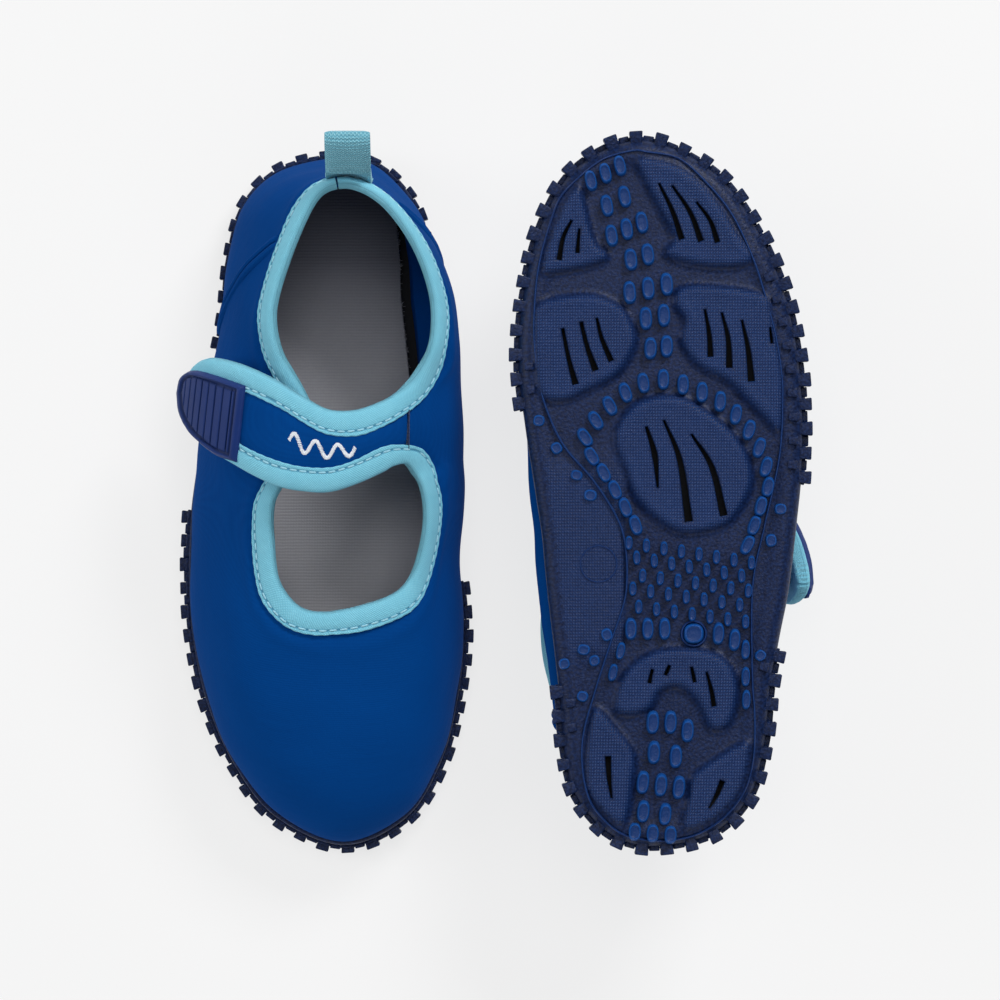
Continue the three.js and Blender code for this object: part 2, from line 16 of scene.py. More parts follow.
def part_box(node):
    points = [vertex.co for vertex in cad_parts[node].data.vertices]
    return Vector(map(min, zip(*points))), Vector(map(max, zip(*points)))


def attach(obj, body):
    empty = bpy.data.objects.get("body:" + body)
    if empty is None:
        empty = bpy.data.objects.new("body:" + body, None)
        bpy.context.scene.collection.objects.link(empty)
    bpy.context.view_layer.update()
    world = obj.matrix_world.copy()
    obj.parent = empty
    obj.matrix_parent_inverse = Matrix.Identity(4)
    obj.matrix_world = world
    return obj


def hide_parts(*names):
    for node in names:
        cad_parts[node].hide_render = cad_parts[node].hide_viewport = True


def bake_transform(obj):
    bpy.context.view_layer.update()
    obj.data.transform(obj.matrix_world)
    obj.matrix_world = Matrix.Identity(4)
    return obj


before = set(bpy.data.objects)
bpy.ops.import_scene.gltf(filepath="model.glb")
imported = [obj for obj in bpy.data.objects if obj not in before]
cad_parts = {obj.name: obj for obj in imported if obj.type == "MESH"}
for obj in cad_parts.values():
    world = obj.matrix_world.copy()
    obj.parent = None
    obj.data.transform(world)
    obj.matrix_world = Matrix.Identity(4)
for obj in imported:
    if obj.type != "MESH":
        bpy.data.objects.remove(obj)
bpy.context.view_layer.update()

MM = 0.001

# ---- driving dimensions, in millimetres ----

TREAD_Z = 1.6  # the tread over the floor at its border
CHANNEL_DEEPER = 0.7  # how much deeper the channels between the pads are
PLATE_TOP = 4.2  # inner floor of the rubber cup
RIM_TOP = 9.0
TOE_RISE = 2.0  # how much higher the rim stands at the toe
RIM_THICK = 2.0
BEVEL = 3.2  # how far the tread lies inside the rim
FOOT_Z = 5.8  # lower edge of the upper
FOOT_INSET = RIM_THICK + 0.8
FABRIC = 2.0  # neoprene of the upper
OVERHANG = 2.3  # how far the upper puffs out over the rim
STRAP_THICK = 2.4
TAPE_WIDE = 6.4
STITCH_PITCH = 2.5
STITCH_FROM_BORDER = 1.2
STITCH_RADIUS = 0.24
RIPPLE_WAVES = 7
INSOLE_LOW = 6.15
INSOLE_HIGH = 8.45
FIBRES = 420  # loose fibres at the insole's edge
LEAN = (3.5, 12.0)  # how far the turned shoe's upper leans outwards and to the toe
SLACK = 5.0  # how much flatter the turned shoe's inner wall hangs
FLARE = 3.5  # how far the turned shoe's collar spreads at its inner quarter
TWIST = 0.028  # how far the soles are turned at the heel, as a slope
SOLE_MIDDLE = (-0.7, -0.1)  # middle of the outsole's box in the shoe's own frame

# Stations round the shoe, from the heel centre along the outer side, the toe and the inner side:
# rim x, rim y, topline x, topline y, topline z, outward bulge of the wall.
STATIONS = np.array([
    (-1, -90.2, -4.5, -81.3, 50.0, 1.5),
    (14, -86.8, 0.6, -78.6, 49.3, 2),
    (23.3, -77, 4.6, -71.5, 48.0, 2.5),
    (26.6, -63, 9.2, -60, 45.6, 3.8),
    (27.6, -49, 12.2, -48.5, 43.6, 4.2),
    (29.6, -37, 10.3, -38, 43.6, 4.2),
    (31.7, -26.5, 4.6, -29, 44.8, 3),
    (33, -17, 0.8, -18.5, 45.4, 1.5),
    (34, -8, 6.5, -9, 43.4, 1.5),
    (35.2, 4, 12.2, -0.5, 41.0, 1.5),
    (35.6, 18, 12.4, 10.5, 39.3, 1),
    (34.4, 35, 10.8, 20.5, 37.5, 0.5),
    (30.6, 52, 5.6, 27, 36.2, 0.5),
    (23, 68.8, 0, 28.4, 35.9, 0.5),
    (12, 82.5, -4.2, 28, 36.0, 0.5),
    (-6, 90, -8.5, 27.2, 36.0, 0.5),
    (-22.5, 82.7, -12, 26.2, 35.9, 0.5),
    (-31.6, 67.5, -16, 24.9, 35.7, 0.5),
    (-36, 49, -20.4, 22.4, 35.6, 1),
    (-37, 32, -24.4, 17.4, 35.9, 2),
    (-35.3, 17, -26.8, 9.5, 37.2, 3.5),
    (-33.6, 6, -27.2, 1.5, 39.3, 6),
    (-32.2, -3, -25.6, -5.3, 41.7, 8.5),
    (-31, -11, -22.3, -9.6, 44.0, 10),
    (-30.2, -19.5, -22.3, -19, 46.0, 10.5),
    (-29.2, -29, -22.3, -28.6, 45.6, 10.5),
    (-27.7, -41, -28.4, -39, 44.6, 9),
    (-26, -53.5, -29.2, -52, 44.2, 7.5),
    (-24.7, -65.5, -24.8, -65.5, 46.0, 5.5),
    (-21.5, -77, -17.5, -76, 48.3, 3),
    (-12.5, -87, -10.5, -80.6, 49.7, 2),
], float)
COUNT = len(STATIONS)  # a place round the shoe is told in stations, from 0 to this
RING_COUNT = 240  # points round the insole and the board
# The outer and the inner heel seam, at the topline and at the sole, and the lugs' spans, in stations.
HEEL_SEAM_TOP = (2.05, 29.35)
HEEL_SEAM_FOOT = (4.75, 26.9)
LUG_SPANS = ((4.6, -4.4), (9.0, 19.7))  # the waist carries no lugs

# Edges of the strap's outer face, from its root on the inner side to its tip, one point a station.
STRAP_REAR = [
    (-21.2, -28.4, 46.4), (-13.5, -24.6, 49.6), (-4.5, -23, 51.3), (4, -26.7, 50.9),
    (12.7, -31.8, 48.5), (21.2, -35.3, 43.8), (29, -37, 36.4), (34.2, -34.5, 28.4), (36.8, -28.5, 22.4),
]
STRAP_FRONT = [
    (-21.2, -9.4, 44.8), (-14.5, -6.8, 47.9), (-5, -2.8, 49.6), (5, -2.8, 49.3),
    (13.2, -4.8, 47.4), (21.2, -9, 43.0), (29, -13.4, 35.8), (34.5, -18.3, 28.4), (37, -24.3, 22.4),
]
STRAP_END = 8.0  # the strap's tip, in strap stations: 0 is its root
STRAP_CUT = 3.9  # the strap is made in two lengths that meet here
# Where the strap bends: at its root and at the start of its end, between two strap stations.
BENDS = {"swing": ("shoe", "strap_body", (-0.02, 1.5)),
         "peel": ("strap_body", "strap_end_body", (4.15, 5.0))}
TAB_FINE = np.linspace(4, STRAP_END + 0.2, 120)
TAB_HIGH = 2.1
TAB_RIB_PITCH = 2.75
PATCH_ALONG = (5.0, 7.1)  # strap stations between which the two patches lie
PATCH_ACROSS = (0.34, 0.68)  # and their share of the strap's width
# The pull tab on the plan, from its straight edge to its round end, along both sides.
TAB_REAR = [(18.6, -29.6), (26.7, -32.6), (32.4, -33.9), (35.5, -32.2), (36.6, -28.2)]
TAB_FRONT = [(20.8, -10.2), (26.5, -12.3), (32.6, -17.4), (35.7, -22.6), (36.6, -28.2)]

# The tape's edge where it turns from the wall on to the strap.
FRONT_CORNER = [(-24.5, -7.5), (-22.2, -9.7), (-18.8, -9.0)]
REAR_CORNER = [(-19.0, -27.3), (-22.8, -29.9), (-25.9, -33.6)]

WEBBING_WIDE = 11.5
WEBBING_THICK = 1.05
# The loops' hinge on the heel, and how steeply each loop stands.
LOOP_X = -7.4
LOOPS = {"right": {"y": -84.5, "z": 51.4, "angle": 49}, "left": {"y": -74.8, "z": 49.4, "angle": 236}}


# ---- curves and numbers ----

def smooth(x, low, high):
    t = np.clip((np.asarray(x, float) - low) / (high - low), 0, 1)
    return t * t * (3 - 2 * t)


def mix(a, b, t):
    return a + (b - a) * t


def unit(v):
    return v / np.maximum(np.linalg.norm(v, axis=-1, keepdims=True), 1e-9)


def walk(points):
    """How far along a line of points each of them lies."""
    return np.concatenate([[0], np.cumsum(np.linalg.norm(np.diff(points, axis=0), axis=1))])


def catmull(a, b, c, d, t):
    return b + 0.5 * t * (c - a + t * (2 * a - 5 * b + 4 * c - d + t * (3 * (b - c) + d - a)))


def closed_spline(points):
    """A closed curve through the points, as a function of places counted in points."""
    points = np.asarray(points, float)

    def at(s):
        s = np.asarray(s, float)
        i = np.floor(s).astype(int)
        corners = [points[(i + k) % len(points)] for k in (-1, 0, 1, 2)]
        return catmull(*corners, (s - i)[..., None])
    return at


def open_spline(points):
    """The same for an open curve; a point may be an array of any shape."""
    points = np.asarray(points, float)
    padded = np.concatenate([[2 * points[0] - points[1]], points, [2 * points[-1] - points[-2]]])

    def at(s):
        s = np.asarray(s, float)
        i = np.clip(np.floor(s).astype(int), 0, len(points) - 2)
        shape = s.shape + (1,) * (points.ndim - 1)
        return catmull(*[padded[i + k] for k in range(4)], (s - i).reshape(shape))
    return at


def ripple(points, amplitude, wavelength, seed):
    """A soft seeded unevenness: a sum of sine waves in scattered directions."""
    rng = np.random.default_rng(seed)
    total = np.zeros(points.shape[:-1])
    for _ in range(RIPPLE_WAVES):
        direction = rng.normal(size=3)
        direction /= np.linalg.norm(direction)
        frequency = 2 * math.pi / (wavelength * rng.uniform(0.7, 1.6))
        total += np.sin(points @ direction * frequency + rng.uniform(0, 2 * math.pi))
    return amplitude * total / math.sqrt(RIPPLE_WAVES)


def distance_inside(points, outline):
    """How far each flat point lies inside a closed outline; outside it is negative."""
    a = np.asarray(outline, float)[None, :, :2]
    b = np.roll(a, -1, axis=1)
    p = np.asarray(points, float)[:, None, :2]
    edge = b - a
    t = np.clip(((p - a) * edge).sum(-1) / np.maximum((edge ** 2).sum(-1), 1e-12), 0, 1)
    nearest = np.sqrt((((p - a) - edge * t[..., None]) ** 2).sum(-1)).min(1)
    crosses = (a[..., 1] > p[..., 1]) != (b[..., 1] > p[..., 1])
    level = np.where(np.abs(edge[..., 1]) < 1e-12, 1e-12, edge[..., 1])
    x = a[..., 0] + (p[..., 1] - a[..., 1]) / level * edge[..., 0]
    inside = (crosses & (p[..., 0] < x)).sum(1) % 2 == 1
    return np.where(inside, nearest, -nearest)


# ---- one shoe's own frame ----

rim_curve = closed_spline(STATIONS[:, :2])
top_curve = closed_spline(STATIONS[:, 2:5])
bulge_curve = closed_spline(STATIONS[:, 5:6])
rear_edge = open_spline(STRAP_REAR)
front_edge = open_spline(STRAP_FRONT)


def all_round(count):
    """Stations evenly spread round the whole shoe."""
    return np.linspace(0, COUNT, count, endpoint=False)


def rim_out(station):
    step = rim_curve(station + 0.02) - rim_curve(station - 0.02)
    return unit(np.stack([step[..., 1], -step[..., 0]], -1))


def rim_point(station, inset, z):
    station, inset, z = np.broadcast_arrays(station, inset, z)
    flat = rim_curve(station) - rim_out(station) * inset[..., None]
    return np.concatenate([flat, z[..., None].astype(float)], -1)


def rim_top(station):
    return RIM_TOP + TOE_RISE * smooth(rim_curve(station)[..., 1], 30, 85)


def upper_point(station, v):
    """The upper's outer face: a cubic curve from the foot inside the rim to the topline."""
    station, v = np.broadcast_arrays(np.asarray(station, float), np.asarray(v, float))
    foot = rim_point(station, FOOT_INSET, FOOT_Z)
    top = top_curve(station)
    reach = np.hypot(*(foot - top)[..., :2].transpose(*range(-1, foot.ndim - 1)))
    full = smooth(reach, 10, 34)
    rise = top[..., 2] - FOOT_Z
    knee = foot.copy()
    knee[..., 2] = FOOT_Z + rise * mix(0.38, 0.8, full)
    shoulder = top + (foot - top) * mix(0.25, 0.58, full)[..., None]
    shoulder[..., 2] = top[..., 2] - rise * mix(0.34, 0.04, full) - np.maximum(0, reach - 32) * 0.1
    t = v[..., None]
    point = (foot * (1 - t) ** 3 + 3 * knee * t * (1 - t) ** 2
             + 3 * shoulder * t * t * (1 - t) + top * t ** 3)
    height = np.clip((point[..., 2] - RIM_TOP) / (top[..., 2] - RIM_TOP), 0, 1)
    over = point[..., 2] - rim_top(station)
    puff = OVERHANG * smooth(over, 0.2, 2.0) * (1 - smooth(over, 2.5, 19))
    swell = bulge_curve(station)[..., 0] * np.sin(math.pi * height) + puff
    point[..., :2] += rim_out(station) * swell[..., None]
    return point


def upper_normal(station, v):
    low, high = np.clip(v - 0.02, 0, 1), np.clip(v + 0.02, 0, 1)
    along = upper_point(station + 0.05, v) - upper_point(station - 0.05, v)
    return unit(np.cross(along, upper_point(station, high) - upper_point(station, low)))


def v_below_top(stations, distances):
    """Places v of the upper that lie at these distances below the topline, for each station."""
    v = np.linspace(1, 0, 49)
    columns = upper_point(np.asarray(stations, float)[:, None], v)
    return np.array([np.interp(distances, walk(column), v) for column in columns])


def strap_point(s, w):
    """The strap's outer face: s runs from its root to its tip, w from its rear to its front edge."""
    s, w = np.broadcast_arrays(np.asarray(s, float), np.asarray(w, float))
    point = mix(rear_edge(s), front_edge(s), w[..., None])
    point[..., 2] += 0.7 * np.sin(math.pi * w)
    return point


def strap_normal(s, w):
    s, w = np.broadcast_arrays(np.asarray(s, float), np.asarray(w, float))
    along = strap_point(s + 0.05, w) - strap_point(s - 0.05, w)
    return unit(np.cross(along, strap_point(s, w + 0.05) - strap_point(s, w - 0.05)))


def on_strap(s, w, off):
    return strap_point(s, w) + strap_normal(s, w) * np.asarray(off, float)[..., None]


def strap_width(s):
    return np.linalg.norm(front_edge(s) - rear_edge(s), axis=-1)


# ---- the two shoes in the row frame ----

class Shoe:
    """Where one shoe stands in the row frame."""

    def __init__(self, side):
        self.side = side
        self.turned = side == "left"
        low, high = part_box(side + "_outsole")
        middle = (low + high) / 2 / MM
        away = -1 if self.turned else 1
        self.x = middle.x + away * SOLE_MIDDLE[0]
        self.y = middle.y + away * SOLE_MIDDLE[1]
        self.top = high.z / MM

    def place(self, points):
        """Points of the shoe's own frame in the row frame, bent as this shoe lies."""
        x, y, z = np.asarray(points, float).reshape(-1, 3).T
        if not self.turned:
            x = x + TWIST * np.minimum(y, 0.4 * y) * (1 - smooth(z, 8, 40))
            return np.stack([self.x - x, self.y - y, z], 1) * MM
        lean = smooth(z, RIM_TOP + TOE_RISE, 46)
        wall = smooth(z, RIM_TOP + 1, 22) * (1 - smooth(z, 36, 44))
        quarter = smooth(-y, 32, 44) * (1 - smooth(-y, 64, 80)) * smooth(-x, 18, 26)
        bent = x + LEAN[0] * lean + SLACK * wall * smooth(-x, 22, 36) + TWIST * np.minimum(y + 40, 0)
        bent += FLARE * quarter * (0.5 * wall - smooth(z, 32, 44))
        return np.stack([self.x + bent, self.y + y + LEAN[1] * lean, self.top - z], 1) * MM

    def body(self, name):
        return f"{self.side}_{name}"


# ---- building meshes ----

class Skin:
    """Points and faces of one piece, with a material number for each block of faces."""

    def __init__(self):
        self.points, self.weave, self.faces, self.slots = [], [], [], []
        self.count = 0

    def add(self, points, blocks, slot=0, weave=None):
        points = np.asarray(points, float).reshape(-1, 3)
        self.points.append(points)
        self.weave.append(points if weave is None else np.asarray(weave, float).reshape(-1, 3))
        for block in blocks:
            self.faces += (np.asarray(block) + self.count).tolist()
            self.slots += [slot] * len(block)
        self.count += len(points)
        return self


def grid(columns, rows, wrap_columns=False, wrap_rows=False):
    i = np.arange(columns if wrap_columns else columns - 1)[:, None]
    j = np.arange(rows if wrap_rows else rows - 1)[None, :]
    i2, j2 = (i + 1) % columns, (j + 1) % rows
    corners = [i * rows + j, i2 * rows + j, i2 * rows + j2, i * rows + j2]
    return np.stack(np.broadcast_arrays(*corners), -1).reshape(-1, 4)


def add_tubes(skin, tubes, slot, weave=None):
    """Closed solids: an array of tubes, of sections along each, of points round it, of coordinates."""
    count, n, m = tubes.shape[:3]
    starts = (np.arange(count) * n * m)[:, None, None]
    ends = np.stack([np.arange(m)[::-1], np.arange(m) + (n - 1) * m])
    blocks = [(grid(n, m, wrap_rows=True) + starts).reshape(-1, 4), (ends + starts).reshape(-1, m)]
    return skin.add(tubes, blocks, slot, weave)


def add_shell(skin, outer, inner, slot=0, weave=None):
    """A sheet with thickness: two grids of the same size, joined round their border."""
    n, m = outer.shape[:2]
    face = grid(n, m)
    back = face[:, ::-1] + n * m
    ids = np.arange(n * m).reshape(n, m)
    border = np.concatenate([ids[:-1, 0], ids[-1, :-1], ids[:0:-1, -1], ids[0, :0:-1]])
    ahead = np.roll(border, -1)
    edge = np.stack([border, border + n * m, ahead + n * m, ahead], 1)
    both = None if weave is None else np.concatenate([weave.reshape(-1, 3)] * 2)
    points = np.concatenate([outer.reshape(-1, 3), inner.reshape(-1, 3)])
    return skin.add(points, [face, back, edge], slot, both)


def bend(shoe, piece, first, second, over):
    """Meant for cloth that bends from one body to the next between two strap stations; it only bakes the
    piece's transform and attaches it to neither body.
    """
    start, end = (tuple(map(float, shoe.place(strap_point(s, 0.5))[0])) for s in over)
    shoe.body(first)
    shoe.body(second)
    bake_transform(piece)


def add_piece(shoe, name, skin, materials, body="shoe", stands_for=None, sharp=40):
    """A mesh piece that rides on a body of this shoe, or on none where the strap bends, and takes the place
    of a CAD node.
    """
    mesh = bpy.data.meshes.new(f"{shoe.side}_{name}")
    mesh.from_pydata(shoe.place(np.concatenate(skin.points)).tolist(), [], skin.faces)
    weave = mesh.attributes.new("weave", "FLOAT_VECTOR", "POINT")
    weave.data.foreach_set("vector", np.concatenate(skin.weave).astype(np.float32).ravel())
    for material in materials:
        mesh.materials.append(material)
    mesh.polygons.foreach_set("material_index", skin.slots)
    work = bmesh.new()
    work.from_mesh(mesh)
    bmesh.ops.remove_doubles(work, verts=work.verts, dist=0.002 * MM)
    bmesh.ops.recalc_face_normals(work, faces=work.faces)
    work.to_mesh(mesh)
    work.free()
    mesh.polygons.foreach_set("use_smooth", [True] * len(mesh.polygons))
    mesh.set_sharp_from_angle(angle=math.radians(sharp))
    piece = bpy.data.objects.new(mesh.name, mesh)
    bpy.context.scene.collection.objects.link(piece)
    if body in BENDS:
        bend(shoe, piece, *BENDS[body])
    else:
        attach(piece, shoe.body(body))
    if stands_for:
        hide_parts(shoe.body(stands_for))
    return piece


# ---- stitches ----

def add_stitches(skin, starts, ends, normals, radius=STITCH_RADIUS, slot=1, lift=0.5):
    """Short threads that come up out of the cloth and go down into it again."""
    starts, ends, normals = (np.asarray(a, float).reshape(-1, 3) for a in (starts, ends, normals))
    t = np.array([0, 0.12, 0.5, 0.88, 1])
    rise = np.array([-1.4, 0.1, 1.0, 0.1, -1.4]) * radius * lift
    thick = np.array([0.55, 0.95, 1.0, 0.95, 0.55]) * radius
    axis = ends - starts
    side = unit(np.cross(normals, axis))
    middle = starts[:, None] + axis[:, None] * t[:, None] + normals[:, None] * rise[:, None]
    turn = np.arange(6) * math.pi / 3
    around = np.cos(turn)[:, None] * side[:, None, None] + np.sin(turn)[:, None] * normals[:, None, None]
    return add_tubes(skin, middle[:, :, None] + around * thick[:, None, None], slot)


# ---- upper ----

def cloth(points):
    """Places on the knitted cloth: its wales and its courses run over the shoe, whichever way it faces."""
    x, y, z = np.moveaxis(np.asarray(points, float), -1, 0)
    return np.stack([x - z * np.tanh(x / 15), y - z * np.tanh(y / 30), 0 * z], -1)


def panel(foot, top, columns, fade, seed):
    """A neoprene panel between two slanting seams; foot and top are its stations there.

    The slant of each seam fades out over a share of the panel's columns.
    """
    i = np.arange(columns + 1)[:, None]
    over = columns * fade
    v = np.concatenate([np.linspace(0, 0.97, 49), [0.98, 0.99, 1.0]])[None, :]
    slant = ((foot[0] - top[0]) * np.maximum(0, 1 - i / over)
             + (foot[1] - top[1]) * np.maximum(0, 1 - (columns - i) / over))
    station = mix(top[0], top[1], i / columns) + (1 - v) * slant
    corners = np.exp(-((station - 22.7) / 0.6) ** 2) + np.exp(-((station - 25.5) / 0.6) ** 2)
    v = v * (1 - 0.025 - 0.07 * corners)
    points, normals = upper_point(station, v), upper_normal(station, v)
    # The cloth waves a little, bulges beside the tape, thins under it, and sinks at the seams.
    steps = np.linalg.norm(np.diff(points, axis=1), axis=-1)
    below = np.concatenate([np.cumsum(steps[:, ::-1], axis=1)[:, ::-1], np.zeros((len(points), 1))], 1)
    side = np.minimum(i, columns - i) * np.linalg.norm(points[1, 0] - points[0, 0])
    root = smooth(station, 22.6, 23.2) * (1 - smooth(station, 24.8, 25.4))
    lift = ripple(points, 0.22, 26, seed) * smooth(below, 4, 14)
    lift += 0.35 * (1 - root) * np.exp(-((below - 8.0) / 1.6) ** 2) - 0.4 * (1 - smooth(below, 5.2, 7.0))
    lift -= 0.45 * (1 - smooth(below, 0.0, 0.9)) + 0.35 * (1 - smooth(side, 0.2, 1.6))
    lift = lift[..., None]
    thick = (FABRIC - 0.9 * (1 - smooth(below, 4, 8)))[..., None]
    return points + normals * lift, points - normals * (thick - 0.3 * lift)


def upper_pieces(shoe, looks):
    behind = [(seam[1], COUNT + seam[0]) for seam in (HEEL_SEAM_FOOT, HEEL_SEAM_TOP)]
    for name, stands_for, foot, top, columns, fade, seed in (
            ("upper_fabric", "upper", HEEL_SEAM_FOOT, HEEL_SEAM_TOP, 400, 8 / 51, 3),
            ("heel_panel_fabric", "heel_panel", *behind, 110, 1, 5)):
        outer, inner = panel(foot, top, columns, fade, seed)
        skin = add_shell(Skin(), outer, inner, 0, cloth(outer))
        add_piece(shoe, name, skin, [looks["neoprene"]], stands_for=stands_for)


# The welt's section: distance from the seam, height over the cloth.
WELT_SECTION = [(-2.1, -0.7), (-1.9, 0.05), (-1.4, 0.62), (-0.8, 0.8), (-0.25, 0.5), (0, -0.1),
                (0.25, 0.45), (0.8, 0.74), (1.3, 0.56), (1.8, 0.05), (2.0, -0.7)]


def heel_seams(shoe, looks):
    """A double welt along each slanting heel seam."""
    for index, name in ((0, "outer_heel_seam"), (1, "inner_heel_seam")):
        v = np.linspace(0.16, 0.9, 90)
        station = mix(HEEL_SEAM_FOOT[index], HEEL_SEAM_TOP[index], v)
        points, normals = upper_point(station, v), upper_normal(station, v)
        along = unit(np.gradient(points, axis=0))
        side = unit(np.cross(normals, along))
        sink = (1.2 * smooth(v, 0.8, 0.88))[:, None]  # the welt dives under the edge tape
        sections = np.stack([points + side * a + normals * (b - sink) for a, b in WELT_SECTION], 1)
        skin = add_tubes(Skin(), sections[None], 0, cloth(sections))
        add_piece(shoe, name, skin, [looks["neoprene"]], sharp=25)


# ---- edge tape ----

RAILS = np.linspace(0, TAPE_WIDE, 5)
# The tape's section: distance from the edge, share of the cloth's thickness, height over the cloth.
TAPE_SECTION = [
    (6.4, 0, 0.02), (6.42, 0, 0.32), (6.2, 0, 0.56), (5.8, 0, 0.6), (5.45, 0, 0.46), (5.2, 0, 0.36),
    (4.95, 0, 0.48), (4.5, 0, 0.68), (3.4, 0, 0.84), (2.2, 0, 0.8), (1.2, 0, 0.6), (0.5, 0, 0.3),
    (0.08, 0.12, 0.1), (-0.15, 0.4, 0), (-0.15, 0.6, 0), (0.08, 0.88, -0.1), (0.5, 1, -0.3),
    (1.2, 1, -0.5), (2.2, 1, -0.65), (3.4, 1, -0.7), (4.5, 1, -0.62), (5.2, 1, -0.4), (5.8, 1, -0.6),
    (6.2, 1, -0.56), (6.42, 1, -0.32), (6.4, 1, -0.02),
]


def wall_rails(stations):
    """Rails under the tape at these stations: points, directions, and how thick the edge is."""
    v = v_below_top(stations, RAILS)
    s = np.asarray(stations)[:, None]
    return upper_point(s, v), upper_normal(s, v), np.full(len(v), 1.4)


def strap_rails(places, front):
    """The same along an edge of the strap."""
    places = np.asarray(places, float)
    share = RAILS[None] / strap_width(places)[:, None]
    w = np.minimum(share, 0.5 * RAILS / TAPE_WIDE)
    s = np.broadcast_to(places[:, None], w.shape)
    w = 1 - w if front else w
    return strap_point(s, w), strap_normal(s, w), np.full(len(w), STRAP_THICK)


def tip_rails():
    """Round the strap's tip, where the tapes of both edges meet."""
    w = np.array([0.85, 0.5, 0.15])
    edge, inside = strap_point(STRAP_END + 0.12, w), strap_point(STRAP_END - 0.8, mix(0.5, w, 0.3))
    rails = mix(edge[:, None], inside[:, None], (RAILS / TAPE_WIDE)[None, :, None])
    normals = np.broadcast_to(strap_normal(STRAP_END - 0.4, 0.5), rails.shape)
    return rails, normals, np.full(3, STRAP_THICK)


def root_samples():
    """Points and directions of the wall and the strap round the strap's root."""
    station, v = np.meshgrid(np.linspace(22, 26.5, 90), np.linspace(0.72, 1, 50), indexing="ij")
    s, w = np.meshgrid(np.linspace(-0.1, 1.6, 60), np.linspace(0, 1, 50), indexing="ij")
    points = np.concatenate([upper_point(station, v).reshape(-1, 3), strap_point(s, w).reshape(-1, 3)])
    normals = np.concatenate([upper_normal(station, v).reshape(-1, 3), strap_normal(s, w).reshape(-1, 3)])
    return points, normals


def corner_rails(samples, before, after, edges):
    """Where tape turns from the wall on to the strap: rails laid over both surfaces."""
    points, normals = samples
    first, last = ((part[0][k, -1] - part[0][k, 0])[:2] for part, k in ((before, -1), (after, 0)))
    sets, ups = [], []
    for k, edge in enumerate(edges):
        t = (k + 1) / (len(edges) + 1)
        wide = mix(np.linalg.norm(first), np.linalg.norm(last), t)
        direction = unit(mix(unit(first), unit(last), t))
        rails, up = [], []
        for share in RAILS / TAPE_WIDE:
            flat = np.asarray(edge[:2]) + direction * wide * share
            gap = ((points[:, :2] - flat) ** 2).sum(1)
            near = np.argsort(gap)[:24]
            weight = 1 / (gap[near] + 0.6)
            height = (points[near, 2] * weight).sum() / weight.sum() + 0.25
            rails.append((*flat, height))
            up.append(unit((normals[near] * weight[:, None]).sum(0)))
        sets.append(rails)
        ups.append(up)
    return np.array(sets), np.array(ups), np.full(len(edges), 1.9)


class Ribbon:
    """The one long tape: from the heel round the openings and the strap, back to the heel."""

    def __init__(self):
        topline = wall_rails(np.concatenate([[0.04], np.arange(0.5, 22.1, 0.5)]))
        front = strap_rails(np.arange(0.75, 7.9, 0.75), True)
        tip = tip_rails()
        rear = strap_rails(np.arange(7.5, 0.7, -0.75), False)
        collar = wall_rails(np.concatenate([np.arange(26, 30.9, 0.5), [30.96]]))
        samples = root_samples()
        front_corner = corner_rails(samples, topline, front, FRONT_CORNER)
        rear_corner = corner_rails(samples, rear, collar, REAR_CORNER)
        parts = [topline, front_corner, front, tip, rear, rear_corner, collar]
        sizes = np.cumsum([len(part[0]) for part in parts])
        self.front_corner = sizes[0] + 1
        self.rear_corner = sizes[4] + 1
        self.front_cut = sizes[1] + (STRAP_CUT - 0.75) / 0.75
        self.rear_cut = sizes[3] + (7.5 - STRAP_CUT) / 0.75
        rails, normals, depth = (np.concatenate([part[k] for part in parts]) for k in range(3))
        self.at = open_spline(np.concatenate([rails, normals], -1))
        self.depth = open_spline(depth[:, None])
        self.last = len(rails) - 1
        q = np.linspace(0, self.last, 6000)
        self.q, self.walked = q, walk(self.at(q)[:, 2, :3])

    def length(self, q):
        return np.interp(q, self.q, self.walked)

    def frames(self, length):
        q = np.interp(length, self.walked, self.q)
        both = self.at(q)
        return both[..., :3], unit(both[..., 3:]), self.depth(q)[..., 0]

    def surface(self, length, a, share, off):
        """Points of the tape: a is the distance from its edge, share and off set the height."""
        rails, normals, depth = self.frames(length)
        a = np.broadcast_to(a, length.shape)
        k = np.clip(a / RAILS[1], 0, 3.999).astype(int)
        t = (a / RAILS[1] - k)[:, None]
        rows = np.arange(len(length))
        point = mix(rails[rows, k], rails[rows, k + 1], t)
        normal = unit(mix(normals[rows, k], normals[rows, k + 1], np.clip(t, 0, 1)))
        return point + normal * (off - share * depth)[:, None], normal


def tape_skin(ribbon, from_q, to_q):
    """A length of the tape with its row of stitches."""
    start, end = ribbon.length(from_q), ribbon.length(to_q)
    length = np.linspace(start, end, max(4, int((end - start) / 0.62)))
    beat = np.cos(2 * math.pi * length / STITCH_PITCH)
    wander = 0.12 * np.sin(length / 5.3) + 0.08 * np.sin(length / 2.1 + 1)
    sections, weave = [], []
    for a, share, off in TAPE_SECTION:
        near = math.exp(-((a - 5.3) / 0.9) ** 2)
        reach = a + (wander + 0.06 * beat if a > 6 else 0)
        height = off * (1 + 0.1 * near * beat) + (0.05 * near * beat if share == 0 else 0)
        sections.append(ribbon.surface(length, np.minimum(reach, 6.7), share, height + 0 * length)[0])
        weave.append(np.stack([length, np.full_like(length, a + 20 * share), 0 * length], 1))
    skin = add_tubes(Skin(), np.stack(sections, 1)[None], 0, np.stack(weave, 1))
    first = math.ceil(start / STITCH_PITCH) * STITCH_PITCH
    marks = np.arange(first, end - 1.9, STITCH_PITCH)
    if len(marks):
        line = TAPE_WIDE - STITCH_FROM_BORDER
        a, up = ribbon.surface(marks + 0.25, line, 0, np.full(len(marks), 0.42))
        b, _ = ribbon.surface(marks + 2.2, line, 0, np.full(len(marks), 0.42))
        add_stitches(skin, a, b, up)
    return skin


